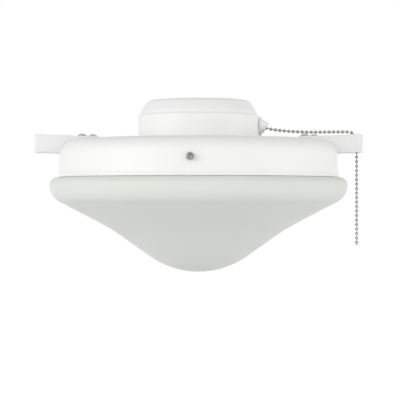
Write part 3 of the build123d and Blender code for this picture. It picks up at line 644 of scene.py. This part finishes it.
def grow(node, tree, places, joined=True, turns=None, **inputs):
    """What geometry nodes make of a line or of loose points, in the finish of a CAD node."""
    mesh = bpy.data.meshes.new(node)
    edges = [(at, at + 1) for at in range(len(places) - 1)] if joined else []
    mesh.from_pydata(places, edges, [])
    if turns:
        mesh.attributes.new("turn", "FLOAT", "POINT").data.foreach_set("value", turns)
    piece = new_object("visual_" + node, mesh)
    modifier = piece.modifiers.new("shape", "NODES")
    modifier.node_group = tree
    inputs["material"] = finishes()[slot_of(node)]
    for item in tree.interface.items_tree:
        label = item.name.lower().replace(" ", "_")
        if item.in_out == "INPUT" and label in inputs:
            modifier[item.identifier] = inputs[label]
    return baked(piece)


def spun(node, section, faces):
    """A piece turned about the Z axis from its closed section."""
    places = [(across, 0, up) for across, up in section]
    sizes = {"corners": len(section), "faces_round": faces}
    piece = grow(node, spin_tree(), places, joined=False, **sizes)
    outward(piece.data)
    return piece


def narrowed(mesh, low, high, least, fade, depth_at):
    """Cuts into a turned side between two heights, by a depth for each height and angle.

    least is the radius under which it is left alone, and fade the stretch at each end over which
    the cut grows to its depth.
    """
    for vertex in mesh.vertices:
        point = vertex.co
        radius = math.hypot(point.x, point.y)
        if low < point.z < high and radius > least:
            share = min(1, (point.z - low) / fade, (high - point.z) / fade)
            share *= depth_at(point.z, math.atan2(point.y, point.x)) / radius
            point.x *= 1 - share
            point.y *= 1 - share


def threaded(mesh, low, high, pitch, depth):
    """Rolls a screw thread into a turned mesh between two heights."""

    def groove(height, at):
        return depth * (0.5 + 0.5 * math.cos(math.tau * height / pitch - at))

    narrowed(mesh, low, high, depth, pitch, groove)


def ladder(radius, low, high, step):
    """Points up a straight side, close enough together to carry a thread."""
    rungs = max(1, math.ceil((high - low) / step))
    return [(radius, low + (high - low) * rung / rungs) for rung in range(rungs + 1)]


def pointing(origin, way):
    """The turn and place that send a piece drawn up the Z axis along way from origin."""
    return Matrix.Translation(origin) @ Vector(way).to_track_quat("Z", "Y").to_matrix().to_4x4()


def cut_away(piece, work):
    """Takes the closed shapes in a bmesh away from a piece."""
    mesh = bpy.data.meshes.new("tool")
    work.to_mesh(mesh)
    work.free()
    tool = new_object("tool", mesh)
    cut = piece.modifiers.new("cut", "BOOLEAN")
    cut.object = tool
    cut.operation = "DIFFERENCE"
    baked(piece)
    bpy.data.objects.remove(tool)
    return piece


def bored(piece, radius, depth, places, faces=48):
    """Drills round holes whose middles and ways are given."""
    work = bmesh.new()
    for middle, way in places:
        bmesh.ops.create_cone(
            work,
            cap_ends=True,
            segments=faces,
            radius1=radius,
            radius2=radius,
            depth=depth,
            matrix=pointing(middle, way),
        )
    return cut_away(piece, work)


def slotted_screw(node, head_radius, head_height, dome, long):
    """A screw along the Z axis: a slotted head that ends in a dome, over a rolled thread."""
    settings = bpy.context.scene.kit_screws
    radius, pitch = settings.radius, settings.pitch
    edge = 0.3 * MM
    lean = 2 * math.atan2(dome, head_radius)
    crown = turn(head_radius / math.sin(lean), lean)
    section = [(0, -long), (radius - 2 * edge, -long)]
    section += ladder(radius, 2 * edge - long, -edge, pitch / 6)
    section += [(radius, 0), (head_radius - edge, 0), (head_radius, edge)]
    section += follow((head_radius, head_height - dome), math.pi - lean, [crown])
    screw = spun(node, section, settings.faces)
    threaded(screw.data, -long, -edge, pitch, settings.thread_depth)
    size = (3 * head_radius, settings.slot_width, 2 * settings.slot_depth)
    work = bmesh.new()
    bmesh.ops.create_cube(work, size=1, matrix=Matrix.LocRotScale((0, 0, head_height), None, size))
    cut_away(screw, work)
    smooth(screw.data)
    return screw


@cache
def places_tree():
    """Geometry nodes that set a piece on points, each turned about the Z axis by its own turn."""
    tree, given = new_tree("Pieces at places", piece="Object")
    piece = add_node(tree, "GeometryNodeObjectInfo", {"Object": given["Piece"]})
    own_turn = add_node(
        tree, "GeometryNodeInputNamedAttribute", {"Name": "turn"}, data_type="FLOAT"
    )
    angles = add_node(tree, "ShaderNodeCombineXYZ", {"Z": own_turn})
    copies = {
        "Points": given["Geometry"],
        "Instance": piece.outputs["Geometry"],
        "Rotation": add_node(tree, "FunctionNodeEulerToRotation", {"Euler": angles}),
    }
    pieces = add_node(tree, "GeometryNodeInstanceOnPoints", copies)
    return end_tree(tree, pieces, given["Material"])


@cache
def lead_tree():
    """Geometry nodes that draw a round wire along a line, with its ends closed."""
    tree, given = new_tree("Wire", radius="Float")
    line = add_node(tree, "GeometryNodeMeshToCurve", {"Mesh": given["Geometry"]})
    ring = add_node(
        tree, "GeometryNodeCurvePrimitiveCircle", {"Resolution": 16, "Radius": given["Radius"]}
    )
    skin = add_node(
        tree, "GeometryNodeCurveToMesh", {"Curve": line, "Profile Curve": ring, "Fill Caps": True}
    )
    rounded = add_node(tree, "GeometryNodeSetShadeSmooth", {"Geometry": skin})
    return end_tree(tree, rounded, given["Material"])


def eased(corners, share=0.45, steps=8):
    """A route with each corner rounded off over a share of its shorter run."""
    places = [corners[0]]
    for before, corner, after in zip(corners, corners[1:], corners[2:]):
        into, out = before - corner, after - corner
        reach = share * min(into.length, out.length)
        start, end = corner + into.normalized() * reach, corner + out.normalized() * reach
        for step in range(steps + 1):
            t = step / steps
            places.append(start.lerp(corner, t).lerp(corner.lerp(end, t), t))
    places.append(corners[-1])
    return places


def cap_section(settings):
    """The cap's section, from its dished seat over the stepped brow to its wall."""
    low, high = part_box("switch_cap")
    degrees = math.radians
    dish_floor, dish_bend = 4.4 * MM, 1.2 * MM
    slope, skirt, ledge = 6.6 * MM, 1.6 * MM, 0.9 * MM
    skirt_bend, wall_bend = 1.0 * MM, 1.8 * MM
    dish = [run(dish_floor), turn(dish_bend, degrees(60)), turn(dish_bend, degrees(-60))]
    brow = [
        turn(settings.crown_radius, degrees(-57)),
        run(slope),
        turn(settings.brow_radius, degrees(-15)),
        run(skirt),
        turn(skirt_bend, degrees(32)),
        run(ledge),
        turn(wall_bend, degrees(-50) + settings.draft),
    ]
    out, down = travel(0, brow)
    wall_run = (high.z - low.z + down) / math.cos(settings.draft)
    dish_out, dish_up = travel(0, dish)
    flat = high.x - settings.hole_radius - dish_out - out - wall_run * math.sin(settings.draft)
    moves = dish + [run(flat)] + brow + [run(wall_run)]
    return sheet((settings.hole_radius, high.z - dish_up), 0, moves, settings.wall)


def pan_section(settings):
    """The pan's section, from its stem hole over the shoulder to its lip."""
    low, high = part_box("pan")
    down_heading = settings.draft - math.pi / 2
    lip = [
        turn(settings.lip_bend_radius, settings.lip_angle),
        turn(settings.lip_bend_radius, -settings.lip_angle),
        run(settings.lip_height),
    ]
    shoulder = [turn(settings.shoulder_radius, down_heading)]
    out, down = travel(0, shoulder)
    lip_drop = travel(down_heading, lip).y
    side = (high.z - low.z + down + lip_drop) / math.cos(settings.draft)
    flat = settings.radius - settings.hole_radius - out - side * math.sin(settings.draft)
    moves = [run(flat)] + shoulder + [run(side)] + lip
    return sheet((settings.hole_radius, high.z), 0, moves, settings.wall)


def glass_section(settings):
    """The bowl's section, from the top of its neck to its lowest point."""
    low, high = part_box("glass_bowl")
    quarter = math.pi / 2
    steep = settings.slope + settings.ogee_turn
    shoulder = high.x - settings.neck_radius - settings.neck_fillet - settings.rim_top_radius
    first = [
        run(settings.neck_height - settings.neck_fillet),
        turn(settings.neck_fillet, quarter),
        run(shoulder),
        turn(settings.rim_top_radius, -quarter),
        turn(settings.rim_low_radius, settings.slope - quarter),
    ]
    ogee = turn(settings.ogee_radius, settings.ogee_turn)
    belly = turn(settings.belly_radius, -steep)
    first_out, first_down = travel(-quarter, first)
    ogee_out, ogee_down = travel(settings.slope - math.pi, [ogee])
    belly_out, belly_down = travel(steep - math.pi, [belly])
    inward = settings.neck_radius + first_out + ogee_out + belly_out
    downward = high.z - low.z + first_down + ogee_down + belly_down
    apart = math.sin(settings.ogee_turn)
    upper = (inward * math.sin(steep) - downward * math.cos(steep)) / apart
    lower = (downward * math.cos(settings.slope) - inward * math.sin(settings.slope)) / apart
    moves = first + [run(upper), ogee, run(lower), belly]
    return sheet((settings.neck_radius, high.z), -quarter, moves, settings.wall)


class KIT_OT_stage(bpy.types.Operator):
    """Makes the camera, the pale floor and the soft light"""

    bl_idname = "kit.stage"
    bl_label = "Stage"

    def execute(self, context):
        settings = context.scene.kit_stage
        context.scene.view_settings.view_transform = "Standard"
        eye = bpy.data.cameras.new("camera")
        eye.lens = settings.lens
        eye.sensor_width = 36
        eye.clip_end = 50
        camera = bpy.data.objects.new("camera", eye)
        camera.location = (settings.camera_x, settings.camera_y, settings.camera_z)
        camera.rotation_euler = (math.pi / 2, 0, 0)
        context.scene.collection.objects.link(camera)
        context.scene.camera = camera
        self.make_floor(settings)
        self.make_light(context, settings)
        return {"FINISHED"}

    def make_floor(self, settings):
        mesh = bpy.data.meshes.new("floor")
        reach = 30
        corners = [(-reach, -reach), (reach, -reach), (reach, reach), (-reach, reach)]
        mesh.from_pydata([(x, y, settings.floor_z) for x, y in corners], [], [(0, 1, 2, 3)])
        floor = new_object("floor", mesh)
        material = bpy.data.materials.new("pale floor paint")
        tree = blank_tree(material)
        glow = add_node(
            tree, "ShaderNodeMath", {0: self.shown(tree), 1: settings.floor_glow}, operation="MULTIPLY"
        )
        paint = add_node(tree, "ShaderNodeBsdfDiffuse", {"Color": (*linear("#F0F0F0"), 1)})
        light = add_node(tree, "ShaderNodeEmission", {"Strength": glow})
        both = add_node(tree, "ShaderNodeAddShader", {0: paint, 1: light})
        add_node(tree, "ShaderNodeOutputMaterial", {"Surface": both})
        mesh.materials.append(material)

    def shown(self, tree):
        """Whether a ray shows what it meets: from the camera, off gloss or through glass."""
        rays = add_node(tree, "ShaderNodeLightPath").outputs
        found = rays["Is Camera Ray"]
        for kind in ("Is Glossy Ray", "Is Transmission Ray"):
            found = add_node(tree, "ShaderNodeMath", {0: found, 1: rays[kind]}, operation="MAXIMUM")
        return found

    def make_light(self, context, settings):
        """A pale room, dimmer overhead and white where it is seen, and three large soft lamps."""
        world = bpy.data.worlds.new("soft room")
        tree = blank_tree(world)
        way = add_node(tree, "ShaderNodeTexCoord").outputs["Generated"]
        height = add_node(tree, "ShaderNodeSeparateXYZ", {"Vector": way}).outputs["Z"]
        levels = {"To Min": settings.room_light, "To Max": settings.ceiling_light}
        even = add_node(tree, "ShaderNodeMapRange", {"Value": height, **levels})
        seen = {"Value": self.shown(tree), "To Min": even, "To Max": 1.0}
        strength = add_node(tree, "ShaderNodeMapRange", seen)
        white = {"Color": (1, 1, 1, 1), "Strength": strength}
        room = add_node(tree, "ShaderNodeBackground", white)
        add_node(tree, "ShaderNodeOutputWorld", {"Surface": room})
        context.scene.world = world
        self.add_lamp("key lamp", (-2.4, -1.5, 0.4), settings.key_power)
        self.add_lamp("fill lamp", (2.7, -0.9, 0.2), settings.fill_power)
        self.add_lamp("front lamp", (0.3, -2.9, -0.45), settings.front_power)

    def add_lamp(self, name, place, power):
        """A square area lamp that faces the light kit."""
        kit_middle = Vector((0, 0, -0.08))
        light = bpy.data.lights.new(name, "AREA")
        light.size = 2.2
        light.energy = power
        lamp = bpy.data.objects.new(name, light)
        lamp.location = place
        lamp.rotation_euler = (kit_middle - Vector(place)).to_track_quat("-Z", "Y").to_euler()
        bpy.context.scene.collection.objects.link(lamp)


@cache
def chain_tree():
    """Geometry nodes that string beads and pins along a line."""
    tree, given = new_tree("Bead chain", beads="Int", bead_radius="Float", pin_radius="Float")
    line = add_node(tree, "GeometryNodeMeshToCurve", {"Mesh": given["Geometry"]})
    spaced = add_node(
        tree, "GeometryNodeResampleCurve", {"Curve": line, "Count": given["Beads"]}, mode="COUNT"
    )
    ball = add_node(
        tree,
        "GeometryNodeMeshUVSphere",
        {"Segments": 20, "Rings": 12, "Radius": given["Bead radius"]},
    )
    way = add_node(tree, "GeometryNodeInputTangent")
    along = add_node(tree, "FunctionNodeAlignRotationToVector", {"Vector": way}, axis="Z")
    beads = add_node(
        tree,
        "GeometryNodeInstanceOnPoints",
        {"Points": spaced, "Instance": ball, "Rotation": along},
    )
    ring = add_node(
        tree, "GeometryNodeCurvePrimitiveCircle", {"Resolution": 10, "Radius": given["Pin radius"]}
    )
    pins = add_node(
        tree, "GeometryNodeCurveToMesh", {"Curve": spaced, "Profile Curve": ring, "Fill Caps": True}
    )
    both = add_node(tree, "GeometryNodeJoinGeometry")
    for part in (beads, pins):
        tree.links.new(part.outputs[0], both.inputs["Geometry"])
    rounded = add_node(tree, "GeometryNodeSetShadeSmooth", {"Geometry": both})
    return end_tree(tree, rounded, given["Material"])


def smooth_line(points):
    """Points along the smooth line that has these as its control points."""
    data = bpy.data.curves.new("route", "CURVE")
    data.dimensions = "3D"
    spline = data.splines.new("NURBS")
    spline.points.add(len(points) - 1)
    for control, point in zip(spline.points, points):
        control.co = (*point, 1)
    spline.order_u = 3
    spline.use_endpoint_u = True
    spline.resolution_u = 24
    route = bpy.data.objects.new("route", data)
    bpy.context.scene.collection.objects.link(route)
    graph = bpy.context.evaluated_depsgraph_get()
    line = bpy.data.meshes.new_from_object(route.evaluated_get(graph))
    places = [vertex.co.copy() for vertex in line.vertices]
    bpy.data.objects.remove(route)
    return places


def stretch_of(places, start, end):
    """The part of a line between two distances from its first point."""
    kept, gone = [], 0.0
    for here, there in zip(places, places[1:]):
        step = (there - here).length
        for wanted in (start, end):
            if gone <= wanted < gone + step:
                kept.append(here.lerp(there, (wanted - gone) / step))
        if start < gone + step < end:
            kept.append(there)
        gone += step
    return kept


class KIT_OT_chain(bpy.types.Operator):
    """Makes the pull chain from the switch to its end piece"""

    bl_idname = "kit.chain"
    bl_label = "Pull chain"

    def execute(self, context):
        settings = context.scene.kit_chain
        line = smooth_line([Vector(point) for point in CHAIN_ROUTE])[::-1]
        pitch = settings.pitch
        drop_end = settings.drop_beads
        bend_end = drop_end + settings.bend_beads
        run_end = bend_end + settings.run_beads
        end_piece = self.make_end(context)
        drop = self.make_beads("chain_drop", line, 1, drop_end)
        bend = self.make_beads("chain_bend", line, drop_end + 1, bend_end)
        course = self.make_beads("chain_run", line, bend_end + 1, run_end)
        drop_path = stretch_of(line, pitch, drop_end * pitch)
        run_path = stretch_of(line, (bend_end + 1) * pitch, run_end * pitch)
        wrap = dressed("chain_wrap", context.scene.kit_metalwork.cut_edge / 8)
        smooth(wrap.data, 60)
        return {"FINISHED"}

    def make_beads(self, node, line, first, last):
        """The beads of one body, numbered from the end piece."""
        settings = bpy.context.scene.kit_chain
        places = stretch_of(line, first * settings.pitch, last * settings.pitch)
        radii = {"bead_radius": settings.bead_radius, "pin_radius": settings.pin_radius}
        return stand_for(grow(node, chain_tree(), places, beads=last - first + 1, **radii), node)

    def make_end(self, context):
        """The fitting that closes the chain: a bead that ends in a small tip."""
        settings = context.scene.kit_chain
        low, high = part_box("chain_end")
        middle = CHAIN_ROUTE[-1]
        foot, top = low.z - middle[2], high.z - middle[2]
        radius, tip, pin = settings.end_radius, settings.end_tip_radius, settings.pin_radius
        lowest, highest = math.acos(tip / radius), math.acos(pin / radius)
        section = [(0, foot)] + follow((tip / 2, foot), 0, [turn(tip / 2, math.pi / 2)])
        ball, heading = turn(radius, lowest + highest), math.pi / 2 - lowest
        section += follow((tip, -radius * math.sin(lowest)), heading, [ball])
        section += [(pin, top), (0, top)]
        piece = spun("chain_end", section, settings.end_faces)
        piece.data.transform(Matrix.Translation(middle))
        smooth(piece.data, 50)
        return stand_for(piece, "chain_end")


class KIT_OT_cap(bpy.types.Operator):
    """Makes the spun switch cap"""

    bl_idname = "kit.cap"
    bl_label = "Switch cap"

    def execute(self, context):
        bushing_hole, reach = 5.05 * MM, 30 * MM
        faces = context.scene.kit_metalwork.round_faces
        cap = spun("switch_cap", cap_section(context.scene.kit_cap), faces)
        low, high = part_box("switch_bushing")
        bored(cap, bushing_hole, reach, [((high.x, 0, (low.z + high.z) / 2), (1, 0, 0))])
        smooth(cap.data)
        stand_for(cap, "switch_cap")
        return {"FINISHED"}


class KIT_OT_pan(bpy.types.Operator):
    """Makes the spun pan"""

    bl_idname = "kit.pan"
    bl_label = "Pan"

    def execute(self, context):
        clearance, reach = 0.3 * MM, 20 * MM
        metalwork = context.scene.kit_metalwork
        pan = spun("pan", pan_section(context.scene.kit_pan), metalwork.round_faces)
        screws = context.scene.kit_screws
        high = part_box("pan")[1]
        holes = [((x, y, high.z), (0, 0, 1)) for x, y in foot_places(screws)]
        for turned in glass_turns(screws):
            way = (math.sin(turned), -math.cos(turned), 0)
            holes.append((Vector(way) * high.x + Vector((0, 0, screws.glass_height)), way))
        bored(pan, screws.radius + clearance, reach, holes)
        softened(pan, metalwork.cut_edge * 2)
        stand_for(pan, "pan")
        return {"FINISHED"}


class KIT_OT_glass(bpy.types.Operator):
    """Makes the opal glass bowl"""

    bl_idname = "kit.glass"
    bl_label = "Glass bowl"

    def execute(self, context):
        settings = context.scene.kit_glass
        faces = context.scene.kit_metalwork.round_faces
        bowl = spun("glass_bowl", glass_section(settings), faces)
        softened(bowl, settings.melted_edge, 3)
        stand_for(bowl, "glass_bowl")
        return {"FINISHED"}


class KIT_OT_arms(bpy.types.Operator):
    """Makes the two pressed chain arms"""

    bl_idname = "kit.arms"
    bl_label = "Chain arms"

    def execute(self, context):
        for node in ("arm_right", "arm_left"):
            dressed(node, context.scene.kit_metalwork.arm_edge)
        return {"FINISHED"}


def foot_places(settings):
    """Where the foot screws stand: a slanted pair on each arm."""
    far = settings.foot_near + settings.foot_spacing
    pair = [(settings.foot_near, -settings.foot_aside), (far, settings.foot_aside)]
    return pair + [(-x, -y) for x, y in pair]


def glass_turns(settings):
    """The turn of each glass screw from the front, about the Z axis."""
    return [settings.glass_turn + third * math.tau / 3 for third in range(3)]


class KIT_OT_screws(bpy.types.Operator):
    """Makes the foot screws and the screws that hold the glass"""

    bl_idname = "kit.screws"
    bl_label = "Screws"

    def execute(self, context):
        settings = context.scene.kit_screws
        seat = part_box("arm_screws")[0].z + settings.foot_length
        pattern = slotted_screw(
            "arm_screws",
            settings.foot_head_radius,
            settings.foot_head_height,
            settings.foot_dome,
            settings.foot_length,
        )
        pattern.name = "foot screw"
        places = [(x, y, seat) for x, y in foot_places(settings)]
        turns = [math.radians(turned) for turned in (25, 70, 110, -20)]
        given = {"joined": False, "turns": turns, "piece": pattern}
        stand_for(grow("arm_screws", places_tree(), places, **given), "arm_screws")
        bpy.data.objects.remove(pattern)
        for turned, name in zip(glass_turns(settings), ("front", "right", "left")):
            self.make_glass_screw(settings, turned, "glass_screw_" + name)
        return {"FINISHED"}

    def make_glass_screw(self, settings, turned, node):
        """A screw whose tip bears on the bowl's neck."""
        screw = slotted_screw(
            node,
            settings.glass_head_radius,
            settings.glass_head_height,
            settings.glass_dome,
            settings.glass_length,
        )
        way = Vector((math.sin(turned), -math.cos(turned), 0))
        seat = way * settings.glass_seat + Vector((0, 0, settings.glass_height))
        screw.data.transform(Matrix.Rotation(settings.slot_turn, 4, "Z"))
        screw.data.transform(pointing(seat, way))
        # The glass screws take the darker nickel, whose colour is a painted dark reflection
        stand_for(screw, node, finish="nickel_painted_dark")


class KIT_OT_lamps(bpy.types.Operator):
    """Makes both lamps with their threaded bases, and the screw shells that hold them"""

    bl_idname = "kit.lamps"
    bl_label = "Lamps"

    def execute(self, context):
        settings = context.scene.kit_lamps
        for name, side in (("right", 1), ("left", -1)):
            self.make_base(settings, "lamp_base_" + name, side)
            self.make_glass(settings, "lamp_glass_" + name, side)
            self.make_shell(settings, "screw_shell_" + name, side)
        return {"FINISHED"}

    def laid(self, piece, node, side):
        """Lays a piece that is drawn up the Z axis along X, from its node's inner end."""
        low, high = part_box(node)
        middle = (low + high) / 2
        start = (low.x if side > 0 else high.x, 0, middle.z)
        piece.data.transform(pointing(start, (side, 0, 0)))
        smooth(piece.data)
        return stand_for(piece, node)

    def make_base(self, settings, node, side):
        """The lamp's metal base, with its rolled thread and its tip contact."""
        low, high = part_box(node)
        radius, long = (high.z - low.z) / 2, high.x - low.x
        tip, rise = 4.5 * MM, 2 * MM
        edge, rung = MM, 0.3 * MM
        disc, shoulder = rise + 0.6 * MM, rise + 3.4 * MM
        foot, top = rise + 4.4 * MM, long - 2 * MM
        section = [(0, 0), (tip / 2, 0)]
        section += follow((tip / 2, 0), 0, [turn(tip / 2, math.radians(60))])[1:]
        section += [(tip, rise), (tip + edge, disc), (radius - edge, shoulder)]
        section += ladder(radius, foot, top, rung) + [(radius - rung, long), (0, long)]
        base = spun(node, section, settings.thread_faces)
        threaded(base.data, foot, top - edge, settings.thread_pitch, settings.thread_depth)
        self.laid(base, node, side)

    def make_glass(self, settings, node, side):
        """The lamp's hollow glass, from its neck to its round end."""
        low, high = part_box(node)
        lean = settings.flare_angle
        flare = turn(settings.flare_radius, -lean)
        dome = turn(settings.bulb_radius, lean + math.pi / 2)
        flare_out, flare_up = travel(math.pi / 2, [flare])
        dome_out, dome_up = travel(math.pi / 2 - lean, [dome])
        slant = (-dome_out - flare_out - settings.neck_radius) / math.sin(lean)
        neck = high.x - low.x - flare_up - dome_up - slant * math.cos(lean)
        moves = [run(neck), flare, run(slant), dome]
        section = sheet((settings.neck_radius, 0), math.pi / 2, moves, -settings.wall)
        faces = bpy.context.scene.kit_metalwork.small_faces
        self.laid(spun(node, section, faces), node, side)

    def make_shell(self, settings, node, side):
        """The lamp holder's screw shell, rolled to the lamp's thread."""
        low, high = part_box(node)
        radius, long = (high.z - low.z) / 2, high.x - low.x
        wall, hole, edge, rung = 0.4 * MM, 5 * MM, MM, 0.3 * MM
        inner, top = radius - wall, long - edge
        outside = ladder(radius, 2 * edge, top, rung)
        inside = ladder(inner, 2 * edge, top, rung)[::-1]
        section = [(hole, 0), (radius - edge, 0), (radius, edge)] + outside
        section += [(radius, long), (inner, long)] + inside
        section += [(inner, edge), (radius - edge - wall, wall), (hole, wall)]
        shell = spun(node, section, settings.thread_faces)
        threaded(shell.data, 2 * edge, top, settings.thread_pitch, settings.shell_depth)
        self.laid(shell, node, side)


class KIT_OT_wiring(bpy.types.Operator):
    """Makes the leads and the ribbed wire nuts that join them"""

    bl_idname = "kit.wiring"
    bl_label = "Wiring"

    def execute(self, context):
        settings = context.scene.kit_wiring
        for node, corners in LEAD_ROUTES.items():
            self.make_lead(settings, node, corners)
        for node, way in WIRE_NUTS.items():
            self.make_nut(settings, node, way)
        return {"FINISHED"}

    def make_lead(self, settings, node, corners):
        """A wire in its insulation along a route of rounded corners."""
        places = eased([Vector(corner) * MM for corner in corners])
        stand_for(grow(node, lead_tree(), places, radius=settings.lead_radius), node)

    def make_nut(self, settings, node, way):
        """A hollow tapered nut with ribs to grip, whose mouth takes the leads' ends."""
        low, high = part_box(node)
        middle = (low + high) / 2
        long = settings.nut_length
        mouth = middle - Vector(way) * long / 2
        outer, tip, bore = settings.nut_radius, settings.nut_tip_radius, settings.nut_bore
        skirt, edge, rim, skin, rungs = 6 * MM, MM, 0.3 * MM, 0.1 * MM, 12
        section = [(bore, 0), (outer - rim, 0), (outer, rim), (outer, skirt - edge)]
        for rung in range(rungs + 1):
            height = skirt + (long - edge - skirt) * rung / rungs
            section.append((outer + (tip - outer) * rung / rungs, height))
        section += [(tip - edge, long), (0, long), (0, long / 2), (bore, long / 2)]
        nut = spun(node, section, bpy.context.scene.kit_metalwork.small_faces)

        def groove(height, at):
            return settings.rib_depth * (0.5 - 0.5 * math.cos(settings.ribs * at))

        narrowed(nut.data, skirt, long - edge, tip + skin, edge, groove)
        smooth(nut.data, 60)
        nut.data.transform(pointing(mouth, way))
        stand_for(nut, node)


class KIT_OT_bell(bpy.types.Operator):
    """Makes the bell guide that the chain leaves the cap through"""

    bl_idname = "kit.bell"
    bl_label = "Bell guide"

    def execute(self, context):
        settings = context.scene.kit_bell
        low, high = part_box("bell_guide")
        long = high.x - low.x
        flange, root, tip = settings.flange_radius, settings.root_radius, settings.tip_radius
        edge, thick, bore = 0.6 * MM, settings.flange_length, settings.bore_radius
        floor, saddle = settings.bore_depth, settings.saddle_depth
        rounding, reach = 0.25 * MM, 60 * MM
        section = [(0, floor), (bore, floor), (bore, -saddle), (flange, -saddle)]
        section += follow((flange, thick - edge), math.pi / 2, [turn(edge, math.pi / 2)])
        section += follow((root + edge, thick), math.pi, [turn(edge, math.radians(-60))])
        section += [(tip, long), (0, long)]
        metalwork = context.scene.kit_metalwork
        bell = spun("bell_guide", section, metalwork.small_faces)
        height = (low.z + high.z) / 2
        bell.data.transform(pointing((low.x, 0, height), (1, 0, 0)))
        bored(bell, low.x, reach, [((0, 0, height), (0, 0, 1))], metalwork.round_faces)
        self.cut_mouth(settings, bell, Vector((high.x, 0, height)))
        softened(bell, rounding)
        stand_for(bell, "bell_guide")
        return {"FINISHED"}

    def cut_mouth(self, settings, bell, tip_middle):
        """Cuts the cone slantwise below, and a round-ended slot for the chain to hang in."""
        slant = math.atan2(settings.tip_radius + settings.cut_drop, settings.cut_back)
        size = 4 * settings.flange_radius
        top = tip_middle + Vector((0, 0, settings.tip_radius))
        tilt = Matrix.Translation(top) @ Matrix.Rotation(-slant, 4, "Y")
        under = tilt @ Matrix.Translation((0, 0, -size / 2))
        work = bmesh.new()
        bmesh.ops.create_cube(work, size=size, matrix=under)
        cut_away(bell, work)
        radius, drop, reach = settings.slot_radius, settings.slot_drop, 6.8 * MM
        round_end = [run(drop), turn(radius, math.pi)]
        outline = follow((radius, -drop), math.pi / 2, round_end * 2)[:-1]
        work = bmesh.new()
        near = [tip_middle + Vector((-reach, across, up)) for across, up in outline]
        end = work.faces.new([work.verts.new(place) for place in near])
        grown = bmesh.ops.extrude_face_region(work, geom=[end], use_keep_orig=True)["geom"]
        far = [part for part in grown if isinstance(part, bmesh.types.BMVert)]
        bmesh.ops.translate(work, verts=far, vec=(2 * reach, 0, 0))
        bmesh.ops.recalc_face_normals(work, faces=work.faces)
        cut_away(bell, work)


class KIT_OT_metalwork(bpy.types.Operator):
    """Finishes the stem, the bracket, the nuts, the lamp holders and the switch"""

    bl_idname = "kit.metalwork"
    bl_label = "Stem, switch and small metalwork"

    def execute(self, context):
        edge = context.scene.kit_metalwork.cut_edge
        for node in list(frame["nodes"]):
            if not frame["nodes"][node].hide_render:
                dressed(node, edge)
        return {"FINISHED"}


class KIT_PT_panel(bpy.types.Panel):
    bl_idname = "KIT_PT_panel"
    bl_label = "Light kit"
    bl_space_type = "VIEW_3D"
    bl_region_type = "UI"
    bl_category = "Light kit"

    def draw(self, context):
        for operator in OPERATORS:
            self.layout.operator(operator.bl_idname)
        for name, group in SETTINGS.items():
            column = self.layout.column(align=True)
            for field in group.__annotations__:
                column.prop(getattr(context.scene, name), field)


OPERATORS = [
    KIT_OT_stage,
    KIT_OT_chain,
    KIT_OT_cap,
    KIT_OT_pan,
    KIT_OT_glass,
    KIT_OT_arms,
    KIT_OT_screws,
    KIT_OT_lamps,
    KIT_OT_bell,
    KIT_OT_wiring,
    KIT_OT_metalwork,
]


def register():
    for group in SETTINGS.values():
        bpy.utils.register_class(group)
    for operator in OPERATORS:
        bpy.utils.register_class(operator)
    bpy.utils.register_class(KIT_PT_panel)
    for name, group in SETTINGS.items():
        setattr(bpy.types.Scene, name, bpy.props.PointerProperty(type=group))


def unregister():
    for name in SETTINGS:
        delattr(bpy.types.Scene, name)
    bpy.utils.unregister_class(KIT_PT_panel)
    for operator in reversed(OPERATORS):
        bpy.utils.unregister_class(operator)
    for group in reversed(list(SETTINGS.values())):
        bpy.utils.unregister_class(group)


def main():
    register()
    for operator in OPERATORS:
        family, name = operator.bl_idname.split(".")
        getattr(getattr(bpy.ops, family), name)()


if __name__ == "__main__":
    main()
